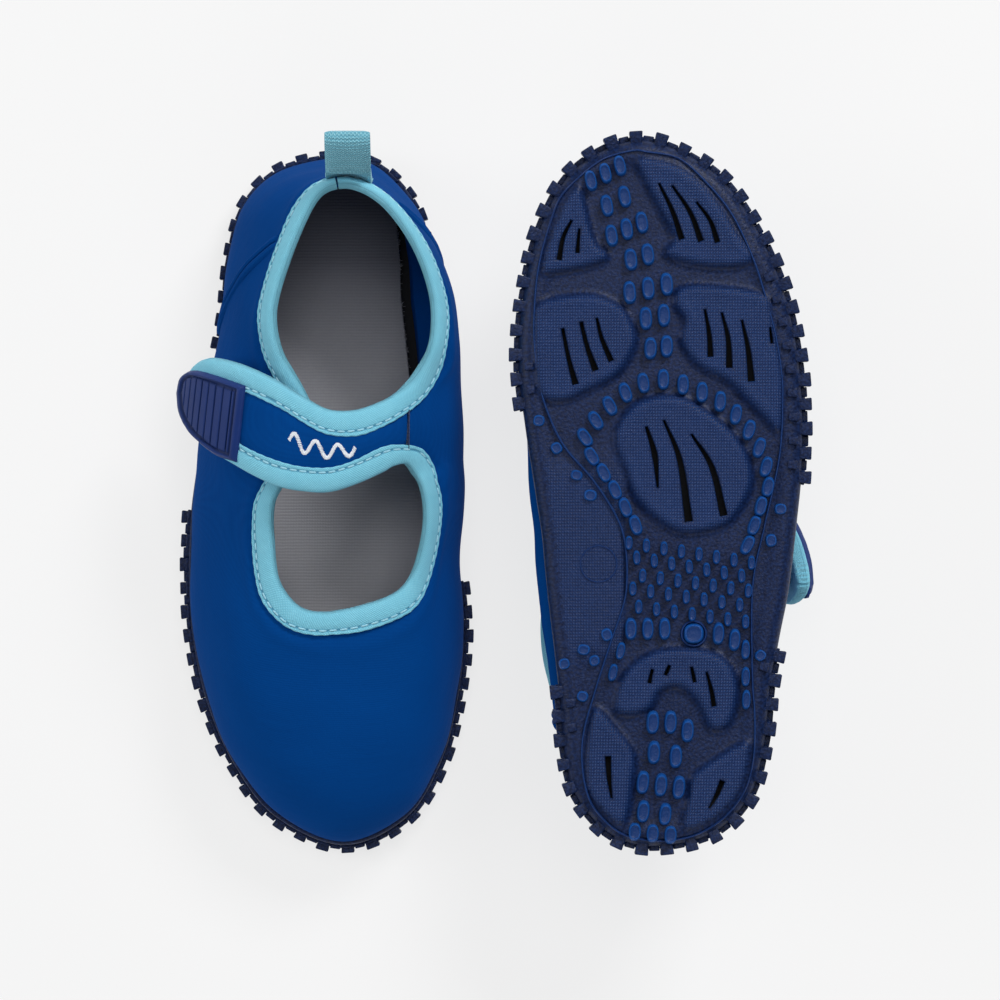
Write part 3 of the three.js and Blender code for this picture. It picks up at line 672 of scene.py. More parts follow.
def tapes(shoe, looks, ribbon):
    for name, stands_for, body, from_q, to_q in (
            ("topline_tape", "topline_binding", "shoe", 0, ribbon.front_corner),
            ("collar_tape", "collar_binding", "shoe", ribbon.rear_corner, ribbon.last),
            ("strap_front_tape", "strap_front_binding", "swing", ribbon.front_corner, ribbon.front_cut),
            ("strap_rear_tape", "strap_rear_binding", "swing", ribbon.rear_cut, ribbon.rear_corner),
            ("strap_end_tape", "strap_end_binding", "peel", ribbon.front_cut, ribbon.rear_cut)):
        skin = tape_skin(ribbon, from_q, to_q)
        add_piece(shoe, name, skin, [looks["tape"], looks["thread"]], body, stands_for)


# ---- strap ----

def strap_skin(span, round_start):
    s = np.linspace(*span, int((span[1] - span[0]) * 16))[:, None]
    w = np.linspace(0.06, 0.94, 40)[None, :]
    s, w = np.broadcast_arrays(s, w)
    rest = strap_point(s, w)
    edge = np.minimum(w, 1 - w) * strap_width(s)
    lift = 0.35 * smooth(edge, 5, 9) - 0.5 * (1 - smooth(edge, 4.4, 6.2)) + ripple(rest, 0.08, 14, 11)
    if round_start:
        lift = lift - 0.5 * (1 - smooth(s, span[0], span[0] + 0.12))
    outer, inner = on_strap(s, w, lift), on_strap(s, w, -STRAP_THICK + 0 * lift)
    return add_shell(Skin(), outer, inner, 0, cloth(outer))


def strap_pieces(shoe, looks):
    for name, body, span, round_start in (("strap", "swing", (-0.16, STRAP_CUT), True),
                                          ("strap_end", "peel", (STRAP_CUT, STRAP_END - 0.35), False)):
        skin = strap_skin(span, round_start)
        add_piece(shoe, name + "_fabric", skin, [looks["neoprene"]], body, name)


def strap_seam(shoe, looks):
    """The thread that joins the strap's root to the wall."""
    w = np.linspace(0.28, 0.76, 11)
    s = np.full(11, -0.2)
    a, b = on_strap(s, w, 0 * w - 0.1), on_strap(s, w + 0.055, 0 * w - 0.1)
    skin = add_stitches(Skin(), a, b, strap_normal(s, w), 0.3, 0, 0.3)
    add_piece(shoe, "strap_root_seam", skin, [looks["blue_thread"]])


def ornament(shoe, looks):
    """A plain wave in satin stitch."""
    t = np.linspace(0, 1, 100)
    s, w = mix(1.55, 3.35, t), 0.5 + 0.085 * np.sin(t * 6 * math.pi)
    line = on_strap(s, w, 0 * t + 0.32)
    up = strap_normal(s, w)
    side = unit(np.cross(up, np.gradient(line, axis=0)))
    rng = np.random.default_rng(21)
    half = 0.55 + rng.uniform(-0.08, 0.08, len(t))[:, None]
    skew = unit(np.gradient(line, axis=0)) * 0.25
    skin = add_stitches(Skin(), line - side * half - skew, line + side * half + skew, up, 0.17, 0, 0.9)
    add_piece(shoe, "strap_wave_stitches", skin, [looks["white_thread"]], "strap_body",
              "strap_ornament")


def on_strap_plan(x, y, off):
    """The strap's surface over a place on the plan, with its edges carried on beyond the cloth."""
    s = np.interp(x, strap_point(TAB_FINE, 0.5)[:, 0], TAB_FINE)
    rear, front = rear_edge(s), front_edge(s)
    w = (y - rear[..., 1]) / (front[..., 1] - rear[..., 1])
    z = mix(rear[..., 2], front[..., 2], np.clip(w, 0, 1)) + 0.7 * np.sin(math.pi * np.clip(w, 0, 1))
    return np.stack([x, y, z], -1) + strap_normal(s, 0.5) * off[..., None]


def pull_tab(shoe, looks):
    """A moulded D with a raised border and ribs across the strap."""
    start, end = np.array(TAB_REAR[0]), np.array(TAB_FRONT[0])
    down = unit(end - start)
    across = np.array([down[1], -down[0]])
    t = np.linspace(0, 4, 200)
    rear, front = (open_spline(points)(t) - start for points in (TAB_REAR, TAB_FRONT))
    reach = (rear @ across)[-1] * np.sin(np.linspace(0, math.pi / 2, 220)) ** 0.95
    low, high = (np.interp(reach, side @ across, side @ down) for side in (rear, front))
    k = np.linspace(0, 1, 44)[None, :]
    flat = start + reach[:, None, None] * across + mix(low[:, None], high[:, None], k)[..., None] * down
    x, y = flat[..., 0], flat[..., 1]
    fine = strap_point(TAB_FINE, 0.5)
    arc = walk(fine[:, [0, 2]])
    middle_x = (start[0] + end[0]) / 2
    from_start = np.interp(middle_x + reach, fine[:, 0], arc) - np.interp(middle_x, fine[:, 0], arc)
    from_start = np.broadcast_to(from_start[:, None], x.shape)
    outline = np.concatenate([rear, front[::-1]]) + start
    border = np.abs(distance_inside(flat.reshape(-1, 2), outline)).reshape(x.shape)
    round_off = 1 - smooth(border, 0, 0.7)
    ridge = smooth(border, 0.2, 0.6) * (1 - smooth(border, 1.1, 1.5))
    inside = smooth(border, 1.75, 2.0)
    beat = np.abs(((from_start - 3.2) / TAB_RIB_PITCH + 0.5) % 1 - 0.5) * TAB_RIB_PITCH
    groove = (1 - smooth(beat, 0.08, 0.3)) * inside * (from_start > 2.4)
    moat = smooth(border, 1.15, 1.4) * (1 - smooth(border, 1.7, 2.0))
    height = TAB_HIGH + 0.3 * ridge - 0.9 * round_off - 0.45 * moat - 0.6 * groove
    # The weave's third number marks the grooves and the moat, where the tab's material paints shade.
    skin = add_shell(Skin(), on_strap_plan(x, y, height), on_strap_plan(x, y, 0.5 + 0 * height), 0,
                     np.stack([x, y, groove + moat], -1))
    add_piece(shoe, "ribbed_pull_tab", skin, [looks["tab"]], "strap_end_body", "pull_tab", sharp=60)


def patches(shoe, looks):
    """The hook and the loop patch, between two heights under the strap's outer face."""
    s, w = np.meshgrid(np.linspace(*PATCH_ALONG, 44), np.linspace(*PATCH_ACROSS, 30), indexing="ij")
    edge = np.minimum(np.minimum(s - PATCH_ALONG[0], PATCH_ALONG[1] - s) * 7,
                      np.minimum(w - PATCH_ACROSS[0], PATCH_ACROSS[1] - w) * 17)
    soft = 0.25 * (1 - smooth(edge, 0, 0.8))
    facing = ripple(strap_point(s, w), 0.06, 1.6, 31)
    for name, body, under, over in (("hook_patch", "strap_end_body", -3.75, -2.65),
                                    ("loop_patch", "shoe", -5.0, -3.95)):
        outer, inner = on_strap(s, w, over - soft + facing), on_strap(s, w, under + soft + facing)
        skin = add_shell(Skin(), outer, inner)
        add_piece(shoe, name + "_pile", skin, [looks["patch"]], body, name)


# ---- heel loop ----

def heel_loop(shoe, looks):
    """Woven webbing folded back on itself."""
    path = open_spline([(0.3, -0.95), (3.5, -1.55), (8, -1.75), (11.4, -1.35), (12.9, 0),
                        (11.4, 1.35), (8, 1.75), (3.5, 1.55), (0.3, 0.95)])
    t = np.linspace(0, 8, 180)
    centre = path(t)
    along = unit(np.gradient(centre, axis=0))
    normal = np.stack([along[:, 1], -along[:, 0]], 1)
    walked = walk(centre)
    across = np.linspace(-1, 1, 26)
    flat = (1 - np.abs(across) ** 8 * 0.75)[None, :]
    rib = 0.06 * np.sin(2 * math.pi * (walked[:, None] / 0.95 + 0.5 * np.abs(across)[None]))
    faces = []
    for sign in (1, -1):
        height = sign * (WEBBING_THICK / 2 * flat + rib)
        x, y = (centre[:, None, k] + normal[:, None, k] * height for k in (0, 1))
        faces.append(np.stack([x, y, np.broadcast_to(across * WEBBING_WIDE / 2, x.shape)], -1))
    weave = np.stack(np.broadcast_arrays(walked[:, None], across[None] * WEBBING_WIDE / 2, 0 * rib), -1)
    loop = LOOPS[shoe.side]
    angle = math.radians(loop["angle"])

    def turned(p):
        """Length, height and width of the loop, turned up by its angle on its seam."""
        length, lift, x = p[..., 0], p[..., 1], -p[..., 2]
        y = -length * math.cos(angle) + lift * math.sin(angle)
        z = length * math.sin(angle) + lift * math.cos(angle)
        return np.stack([x + LOOP_X, y + loop["y"], z + loop["z"]], -1)
    skin = add_shell(Skin(), turned(faces[0]), turned(faces[1]), 0, weave)
    add_piece(shoe, "heel_loop_webbing", skin, [looks["webbing"]], "heel_loop_body", "heel_loop")


def heel_loop_root(shoe, looks):
    """Where the loop is sewn on: webbing over the outside of the tape, or inside on the turned shoe."""
    loop = LOOPS[shoe.side]
    station = np.linspace(29.72, 31.42, 24)
    down = [7.8, 6.6, 5.4, 4.4]
    v = v_below_top(station, down)
    s = station[:, None]
    face = (-1, -2.9) if shoe.turned else (1, 1.35)
    wall = upper_point(s, v) + upper_normal(s, v) * face[1]
    across = np.linspace(0.5, -0.5, 24) * WEBBING_WIDE + LOOP_X
    if wall[0, 0, 0] < wall[-1, 0, 0]:
        across = across[::-1]
    hinge = np.stack([across, np.full(24, loop["y"]), np.full(24, loop["z"] - 0.3)], 1)
    rows = np.concatenate([wall, hinge[:, None]], 1)
    rows[..., 0] = mix(rows[..., 0], across[:, None], 0.8)
    fine = open_spline(np.moveaxis(rows, 1, 0))(np.linspace(0, len(down), 40))
    fine = np.moveaxis(fine, 0, 1)
    along, over = np.gradient(fine, axis=0), np.gradient(fine, axis=1)
    normal = unit(np.cross(along, over)) * face[0]
    walked = walk(fine[len(fine) // 2])
    rib = 0.06 * np.sin(2 * math.pi * walked / 0.72)[None, :, None]
    weave = np.stack(np.broadcast_arrays(walked[None, :], across[:, None], 0.0), -1)
    skin = add_shell(Skin(), fine + normal * (0.5 + rib), fine - normal * 0.5, 0, weave)
    add_piece(shoe, "heel_loop_root", skin, [looks["webbing"]])


# ---- insole ----

HOLE_CLEAR = 0.35  # how far points inside a flat mesh keep from its holes


def flat_mesh(outline, holes, spacing, margin=0.5):
    """Triangles over an outline with holes, with evenly spread points inside if there is a spacing."""
    outline = np.asarray(outline, float)
    low, high = outline.min(0), outline.max(0)
    inside = np.zeros((0, 2))
    if spacing:
        x, y = np.meshgrid(np.arange(low[0], high[0], spacing), np.arange(low[1], high[1], spacing * 0.866))
        x = x + (np.arange(len(x)) % 2)[:, None] * spacing / 2
        points = np.stack([x.ravel(), y.ravel()], 1)
        points = points[distance_inside(points, outline[::4]) > margin]
        for hole in holes:
            near = (np.abs(points - hole.mean(0)) < np.ptp(hole, axis=0) + 2).all(1)
            clear = distance_inside(points[near], hole) < -HOLE_CLEAR
            points = np.concatenate([points[~near], points[near][clear]])
        inside = points
    loops = [outline, *holes]
    starts = np.cumsum([0] + [len(loop) for loop in loops])
    edges = [(int(a + i), int(a + (i + 1) % n))
             for a, n in zip(starts, [len(loop) for loop in loops]) for i in range(n)]
    coordinates = np.concatenate([*loops, inside])
    result = delaunay_2d_cdt([Vector(p) for p in coordinates], edges, [], 0, 1e-6)
    flat = np.array([tuple(v) for v in result[0]])
    triangles = np.array(result[2])
    middle = flat[triangles].mean(1)
    keep = distance_inside(middle, outline) > 0
    for hole in holes:
        near = (np.abs(middle - hole.mean(0)) < np.ptp(hole, axis=0)).all(1)
        keep[near] &= distance_inside(middle[near], hole) < 0
    return flat, triangles[keep]


def insole(shoe, looks):
    """A padded textile sole, cut a little narrow along the inner side."""
    station = all_round(RING_COUNT)
    bare = 1.8 * smooth(station, 20, 23) * (1 - smooth(station, 27, 30))
    inset = FOOT_INSET + FABRIC + 0.75 + bare
    top = rim_point(station, inset + 0.5, 0)[:, :2]
    flat, triangles = flat_mesh(top, [], 2.4, 1.2)
    z = INSOLE_HIGH + ripple(np.c_[flat, 0 * flat[:, 0]], 0.12, 40, 9)
    edge = smooth(distance_inside(flat, top), 0, 3)
    skin = Skin().add(np.c_[flat, mix(INSOLE_HIGH - 0.05, z, edge)], [triangles])
    levels = [(0.5, INSOLE_HIGH - 0.05), (0.15, INSOLE_HIGH - 0.2), (0, INSOLE_HIGH - 0.6),
              (0, INSOLE_LOW + 0.2), (0.2, INSOLE_LOW)]
    rings = np.stack([rim_point(station, inset + d, z) for d, z in levels], 1)
    n, m = rings.shape[:2]
    skin.add(rings, [grid(n, m, wrap_columns=True), (np.arange(n) * m + m - 1)[None]])
    rng = np.random.default_rng(51)  # loose fibres stand out of the insole's cut edge
    at = rng.uniform(20.5, 30.5, FIBRES)
    down = rng.uniform(0.1, 0.7, FIBRES)
    roots = rim_point(at, np.interp(at, station, inset) + 0.25, INSOLE_HIGH - down)
    astray = np.c_[rim_out(at) * rng.uniform(0.1, 0.6, (FIBRES, 1)), rng.uniform(0, 0.4, FIBRES)]
    astray += rng.normal(0, 0.25, (FIBRES, 3))
    up = np.tile([0.0, 0.0, 1.0], (FIBRES, 1))
    add_stitches(skin, roots, roots + astray, up, 0.06, 1, 1.5)
    piece = add_piece(shoe, "insole_textile", skin, [looks["insole"], looks["fuzz"]],
                      stands_for="insole")


def board(shoe, looks):
    """The fibre board on the cup's floor, under the insole."""
    station = all_round(RING_COUNT)
    levels = [(2.55, 4.55), (2.45, 4.65), (2.45, 5.35), (2.55, 5.45)]
    rings = np.stack([rim_point(station, inset, z) for inset, z in levels], 1)
    n, m = rings.shape[:2]
    ends = [(np.arange(n) * m + k)[None] for k in (0, m - 1)]
    skin = Skin().add(rings, [grid(n, m, wrap_columns=True), *ends])
    add_piece(shoe, "midsole_fibre_board", skin, [looks["board"]], stands_for="midsole_board")


# ---- outsole ----

# Raised pads of the tread, as corners of soft outlines.
PADS = [
    [(-21.9, 77.6), (-18.2, 64.8), (-15, 59.4), (-28.3, 56.2), (-31, 57.3), (-30.2, 61.6), (-29.1, 69.1),
     (-26.2, 73.9)],
    [(-6.5, 84), (-0.5, 71.7), (2.7, 64.8), (1.1, 60.5), (11.8, 57.8), (21.9, 59.2), (17.1, 68), (11.8, 76),
     (5.4, 81.9), (-1.1, 84.3)],
    [(-32.1, 47.7), (-19.3, 50.3), (-11.8, 47.7), (-8.6, 43.4), (-7.5, 38.1), (-11.8, 30.7), (-20.3, 25.9),
     (-25.7, 23.7), (-30.8, 24.9), (-32.3, 31.2), (-32.9, 40.1)],
    [(4.3, 51.9), (11.8, 52.5), (25.1, 50.3), (27.3, 43.9), (28.9, 35.9), (29.9, 27.9), (29.4, 16.5),
     (26.2, 18.9), (21.4, 23.8), (16.1, 28.9), (8.6, 32.8), (4.8, 38.6), (5.6, 43.9), (3.2, 48.2)],
    [(-4.3, 23.7), (3.7, 24.3), (11.8, 20), (17.7, 14.6), (21.4, 8.2), (21.9, 1.8), (18.7, -4.6),
     (14.4, -8.4), (5.4, -9.9), (-1.1, -6.8), (-7, -0.9), (-9.6, 6.1), (-11.8, 11.4), (-11.8, 16.2),
     (-8.6, 21.1)],
    [(-11.8, -55), (-10.7, -48.6), (-7.5, -43.8), (-2.1, -40.6), (4.8, -39.8), (11.8, -40.6),
     (16.6, -43.8), (18.7, -49.7), (17.7, -57.1), (15.5, -59.8), (12.3, -59.3), (9.6, -53.9),
     (6.4, -50.2), (2.7, -49.1), (-1.1, -50.7), (-3.2, -54.5), (-7.5, -56.2)],
    [(-16.6, -55), (-11, -61), (-7, -66.8), (-7.5, -75.3), (-8.6, -82.8), (-11.8, -84.5), (-16.1, -80),
     (-18.2, -74.3), (-18.7, -67.8), (-18.2, -60.4)],
    [(10.2, -70.5), (21.4, -63.6), (21.9, -68.9), (20.9, -75.3), (17.7, -80.7), (13.4, -84.6), (8, -86),
     (6.4, -84), (7.5, -78), (8, -73.2)],
]
PAD_RAMP = 2.6
# Drain slits through the pads: centre line, then half widths at its start, middle and end.
SLITS = [
    ([(-23.5, 69.3), (-25.7, 64.8), (-26.7, 59.2)], (0.25, 0.5, 0.65)),
    ([(-21.5, 67.2), (-21.8, 64.2), (-22, 61)], (0.22, 0.4, 0.5)),
    ([(-1.3, 78.7), (2.1, 71.7), (4.5, 64.5)], (0.25, 0.55, 0.75)),
    ([(2.1, 78.1), (6.7, 71.2), (9.4, 64)], (0.25, 0.55, 0.75)),
    ([(8.3, 73.9), (11.8, 69.1), (13.6, 63.7)], (0.25, 0.5, 0.7)),
    ([(-25.8, 41.8), (-24.3, 34.3), (-22.5, 27.6)], (0.4, 0.5, 0.75)),
    ([(-21.1, 43.4), (-19.5, 37), (-17.4, 31.1)], (0.45, 0.55, 0.8)),
    ([(-17.1, 44.4), (-15.8, 39.1), (-13.4, 33.5)], (0.3, 0.5, 0.7)),
    ([(10.4, 46.6), (11.5, 40.2), (11.8, 34.6)], (0.25, 0.55, 0.7)),
    ([(14.7, 45.8), (16.3, 39.1), (16.6, 31.8)], (0.25, 0.6, 0.8)),
    ([(19.8, 43.9), (21.4, 36.4), (22.2, 28.4)], (0.25, 0.6, 0.85)),
    ([(26.9, 42.1), (27.2, 40), (27.4, 38)], (0.2, 0.35, 0.3)),
    ([(-4.5, 16.8), (-2.4, 9.8), (-1.6, 1.4)], (0.35, 0.75, 0.25)),
    ([(0, 18.4), (4, 8.3), (6.3, -7.3)], (0.25, 0.7, 1.0)),
    ([(7, 14.9), (12.2, 6.4), (15.2, -5.8)], (0.25, 0.7, 0.95)),
    ([(-2.8, -44.9), (-3.2, -46.7), (-3.5, -48.4)], (0.35, 0.4, 0.45)),
    ([(1.5, -43.9), (1, -45.2), (0.5, -46.4)], (0.35, 0.45, 0.4)),
    ([(7.1, -44.3), (7.6, -46.3), (8, -48.2)], (0.3, 0.45, 0.4)),
    ([(11, -45.6), (12.3, -50.2), (13.1, -54.3)], (0.25, 0.5, 0.6)),
    ([(-13.5, -67), (-13.1, -72.1), (-12.3, -77.6)], (0.75, 0.6, 0.2)),
    ([(15.8, -73.2), (14.4, -76.9), (12.6, -80.2)], (0.7, 0.55, 0.2)),
]
# Straight rows of oval studs: first and last place, how many, half width, half length, tilt.
STUD_ROWS = [
    (-18.6, 79.5, -11.2, 83.3, 3, 1.1, 2.2, 14), (-14.5, 73.1, -10, 75.4, 2, 1.15, 2.3, 12),
    (-13.3, 65.5, -5.6, 68.8, 3, 1.15, 2.3, 10), (-8.4, 59.4, -4.1, 60.7, 2, 1.2, 2.3, 8),
    (-8.7, 51, 0.7, 53.1, 3, 1.2, 2.4, 5), (-4.6, 44.4, 0, 45.2, 2, 1.2, 2.4, 3),
    (-3.4, 36.8, 0.7, 37.3, 2, 1.2, 2.3, 0),
    (-8.9, -12.7, 22.3, -17.8, 8, 0.85, 1.6, 0), (-6.9, -16.5, 19.8, -21.1, 7, 0.85, 1.6, 3),
    (-5.4, -21.1, 21.5, -24.9, 7, 0.85, 1.6, -3), (-7.9, -24.4, 19.3, -28.5, 7, 0.85, 1.6, 0),
    (-6.4, -29, 20.8, -32.8, 7, 0.85, 1.6, 0), (-8.4, -34.6, 0.2, -34.6, 3, 1.1, 2.3, 0),
    (13.9, -35.8, 18, -37.4, 2, 1.1, 2.3, -4), (20.8, -39.9, 21, -46.8, 2, 1.0, 2.2, 0),
    (21.3, -52.6, 21.3, -52.6, 1, 1.0, 2.2, 0), (-11, -40.2, -12.8, -45.7, 2, 1.0, 2.0, -10),
    (-2.3, -58.4, 2.2, -58.4, 2, 1.2, 2.4, 0), (6.6, -60.5, 6.6, -60.5, 1, 1.2, 2.4, 0),
    (-1.8, -66.1, 3.8, -67.1, 2, 1.2, 2.4, 0), (-4.4, -73.7, 4.8, -75, 3, 1.2, 2.4, -4),
    (-4.1, -81.1, 1.5, -81.8, 2, 1.2, 2.3, -3), (-6.1, -86.2, 3, -87, 3, 1.2, 1.9, 0),
]
# Studs that follow each other round the central pad: x, y, tilt.
STUD_CHAIN = [(-7.2, -8.2, 18), (-13.5, 2.5, 24), (-20.1, 13.2, 34), (-15.3, 20.5, 30), (-8.9, 26.1, 18),
              (-1.1, 28.9, 2), (7.3, 26.6, 0), (16, 22.1, -5), (23.1, 13.9, -18), (26.6, 4, -14),
              (25.3, -1.5, -12), (21.3, -13.2, -26)]
CHAIN_COUNT = 22
CHAIN_HALF = (1.45, 2.55)
STUD_GROWTH = ((1.08, 1.1), (1.3, 1.18))  # small and large studs, at their foot
STUD_DEEP = 2.05  # how far the studs stand over the pads' ground
# Round bumps outside the rib line: x, y.
BUMPS = [(-31.8, 18.4), (-27.3, 11.4), (-22.2, 4.5), (-18.7, -0.6), (-14.5, -36.1), (-17.6, -42.7),
         (-20.4, -39.9), (-25.2, -43.5), (-20.4, -51.8), (29.7, -4.1), (27.3, -12.1), (24.6, -41.4)]
RIB = [(-7.9, 87.1), (-4.4, 86.8), (3.8, 85.1), (10.6, 79.2), (17.2, 71.1), (22.6, 59.9), (25.6, 50.8),
       (28.4, 40.1), (29.9, 30.7), (30.2, 23.6), (29.4, 9.4), (25.6, -8.4), (22.8, -21.6), (22.3, -35.6),
       (22.8, -48.5), (23.6, -57.2), (23.6, -66.8), (21.8, -75.2), (17.2, -82), (10.6, -86.6),
       (3.8, -88.4), (-3.1, -88.4), (-9.7, -86.6), (-15, -82.2), (-18.1, -77.5), (-19.9, -69.9),
       (-19.9, -61.5), (-17.6, -51.8), (-14, -39.4), (-10.2, -28.2), (-9.4, -21.6), (-9.7, -14.2),
       (-11, -8.4), (-14, -2.6), (-18.6, 4), (-25.7, 12.4), (-30.3, 22.6), (-32.3, 31.7), (-33.1, 41.1),
       (-32.6, 52), (-31.3, 60.4), (-28.8, 69.1), (-26.2, 75.4), (-20.4, 81.3), (-15, 85.1)]
BOSS = (7.6, -35.8)
MOULD_RING = (-16.6, -18.1)

# The cup's section from the tread to its inner floor: inset from the rim, height, and whether the
# height rises with the rim.
SIDE_PROFILE = [(3.2, 1.6, 0), (2.5, 1.68, 0), (1.7, 2.1, 0), (0.9, 2.8, 0), (0.35, 3.6, 0), (0.05, 4.6, 0),
                (0, 6.0, 0), (0.05, 8.0, 1), (0.2, 8.6, 1), (0.55, 8.92, 1), (1.0, 9.0, 1), (1.5, 8.92, 1),
                (1.85, 8.6, 1), (2.0, 8.0, 1), (2.0, 6.0, 0), (2.0, 4.2, 0)]
LUG_OUT = 2.3  # how far the lugs stand out of the rim
LUG_HIGH = 7.4
LUG_PITCH = 6.2
LUG_BEVEL = 0.4


def sole_outline(inset):
    return rim_point(all_round(640), inset, 0)[:, :2]


TREAD_EDGE = sole_outline(BEVEL)
PAD_CURVES = [closed_spline(corners)(np.linspace(0, len(corners), 5 * len(corners), endpoint=False))
              for corners in PADS]


def tread_height(flat):
    """Height of the tread over the floor, and how strongly its woven grain shows."""
    raised = np.zeros(len(flat))
    for curve in PAD_CURVES:
        near = ((flat > curve.min(0) - 2) & (flat < curve.max(0) + 2)).all(1)
        inside = distance_inside(flat[near], curve)
        crest = 0.93 * smooth(inside, -1.4, PAD_RAMP - 1.4) + 0.07 * np.exp(-((inside - 1.6) / 1.1) ** 2)
        raised[near] = np.maximum(raised[near], crest)
    edge = distance_inside(flat, TREAD_EDGE[::5])
    raised *= smooth(edge, 0, 1.2)
    solid = np.c_[flat, 0 * raised]
    hollow = (CHANNEL_DEEPER + ripple(solid, 0.08, 18, 17)) * smooth(edge, 0.5, 4.5) * (1 - raised)
    arch = smooth(-flat[:, 0], 9.5, 11) * smooth(flat[:, 1], -46, -38) * (1 - smooth(flat[:, 1], 2, 14))
    grain = np.maximum(smooth(raised, 0.3, 0.9), 0.55 * arch)
    return np.maximum(TREAD_Z - 1.5 * raised + hollow * (1 - 0.8 * arch), 0.02), grain


def slit_outline(line, widths, grow):
    """A slit's outline on the plan, grown on all sides."""
    t = np.linspace(0, 2, 15)
    centre = open_spline(line)(t)
    along = unit(np.gradient(centre, axis=0))
    side = np.stack([-along[:, 1], along[:, 0]], 1)
    half = np.interp(t, [0, 1, 2], widths)[:, None] + grow
    ends = along[[0, -1]] * grow
    centre = centre + np.concatenate([-ends[:1], np.zeros((13, 2)), ends[1:]])
    return np.concatenate([centre + side * half, (centre - side * half)[::-1]])


def sole_body(shoe, looks):
    """The rubber cup: its wall, the tread with its slits, and its inner floor."""
    station = all_round(len(TREAD_EDGE))
    rise = rim_top(station) - RIM_TOP
    rings = np.stack([rim_point(station, inset, z + rises * rise) for inset, z, rises in SIDE_PROFILE], 1)
    n, m = rings.shape[:2]
    no_grain = np.concatenate([rings[..., :2], np.zeros((n, m, 1))], -1)
    skin = Skin().add(rings, [grid(n, m, wrap_columns=True)], 0, no_grain)
    lips = [slit_outline(line, widths, 0.22) for line, widths in SLITS]
    walls = [slit_outline(line, widths, 0) for line, widths in SLITS]
    flat, triangles = flat_mesh(TREAD_EDGE, lips, 0.8)
    z, grain = tread_height(flat)
    skin.add(np.c_[flat, z], [triangles], 0, np.c_[flat, grain])
    for lip, wall in zip(lips, walls):
        z, grain = tread_height(lip)
        levels = [np.c_[lip, z], np.c_[wall, z + 0.28], np.c_[wall, 0 * z + PLATE_TOP]]
        # the lip keeps the rubber; the wall below it takes the slit look, painted near black as shade
        for k in (0, 1):
            skin.add(np.stack(levels[k:k + 2], 1), [grid(len(lip), 2, wrap_columns=True)], k)
    floor_edge = rim_point(station, RIM_THICK, 0)[:, :2]
    flat, triangles = flat_mesh(floor_edge, walls, 0)
    skin.add(np.c_[flat, 0 * flat[:, 0] + PLATE_TOP], [triangles])
    add_piece(shoe, "sole_cup", skin, [looks["rubber"], looks["slit"]], stands_for="outsole",
              sharp=50)


def add_studs(skin, places, half, tilt, base, top, sides=20):
    """Oval studs with a rounded rim and a slightly sunken face."""
    places, half = np.asarray(places, float), np.asarray(half, float)
    turn = np.arange(sides) * 2 * math.pi / sides
    outline = np.stack([np.sign(np.cos(turn)) * np.abs(np.cos(turn)) ** 0.8,
                        np.sign(np.sin(turn)) * np.abs(np.sin(turn)) ** 0.8], 1)
    levels = [(1.1, 1.0), (1.02, 0.6), (0.97, 0.25), (0.9, 0.07), (0.8, 0.0), (0.7, 0.02), (0.62, 0.07),
              (0.4, 0.09), (0.02, 0.1)]
    angle = np.radians(tilt)
    cosine, sine = np.cos(angle)[:, None], np.sin(angle)[:, None]
    rings = []
    for scale, down in levels:
        x, y = np.moveaxis(outline[None] * half[:, None] * scale, -1, 0)
        z = np.broadcast_to(mix(top, base, down)[:, None], x.shape)
        rings.append(np.stack([x * cosine - y * sine + places[:, :1],
                               x * sine + y * cosine + places[:, 1:], z], -1))
    points = np.stack(rings, 1)
    weave = points.copy()
    weave[..., 2] = (np.arange(len(levels)) >= 5)[None, :, None]  # the face is marked for its tone
    return add_tubes(skin, points, 0, weave)


def bevel_height(flat):
    """Height of the sole's underside near its edge, from the cup's section."""
    inset = distance_inside(flat, sole_outline(0)[::5])
    insets, heights = zip(*[(i, z) for i, z, _ in SIDE_PROFILE[:7]][::-1])
    return np.interp(inset, insets, heights)


def studs(shoe, looks):
    """The tread's oval studs, round bumps and one round boss, in a lighter rubber."""
    places, half, tilt = [], [], []
    for x0, y0, x1, y1, count, wide, long, lean in STUD_ROWS:
        for t in np.linspace(0, 1, count) if count > 1 else [0]:
            places.append((mix(x0, x1, t), mix(y0, y1, t)))
            half.append((wide * STUD_GROWTH[wide > 1][0], long * STUD_GROWTH[wide > 1][1]))
            tilt.append(lean)
    chain = open_spline(STUD_CHAIN)(np.linspace(0, len(STUD_CHAIN) - 1, 600))
    walked = walk(chain[:, :2])
    for mark in np.linspace(0, walked[-1], CHAIN_COUNT):
        x, y, lean = (np.interp(mark, walked, chain[:, k]) for k in range(3))
        places.append((x, y))
        half.append(CHAIN_HALF)
        tilt.append(lean)
    places = np.array(places)
    base = np.maximum(bevel_height(places), TREAD_Z) + 0.5 + CHANNEL_DEEPER
    skin = add_studs(Skin(), places, half, tilt, base, np.maximum(0.02, base - STUD_DEEP - CHANNEL_DEEPER))
    rng = np.random.default_rng(41)
    bumps = np.array(BUMPS)
    base = bevel_height(bumps) + 0.5
    size = np.stack([rng.uniform(1.2, 1.4, len(bumps)), rng.uniform(1.3, 1.6, len(bumps))], 1)
    add_studs(skin, bumps, size, 90 * rng.random(len(bumps)), base, base - 1.35)
    add_studs(skin, [BOSS], [(2.5, 2.5)], [0], np.array([2.0 + CHANNEL_DEEPER]), np.array([0.3]), 36)
    add_piece(shoe, "sole_studs", skin, [looks["stud_rubber"]])


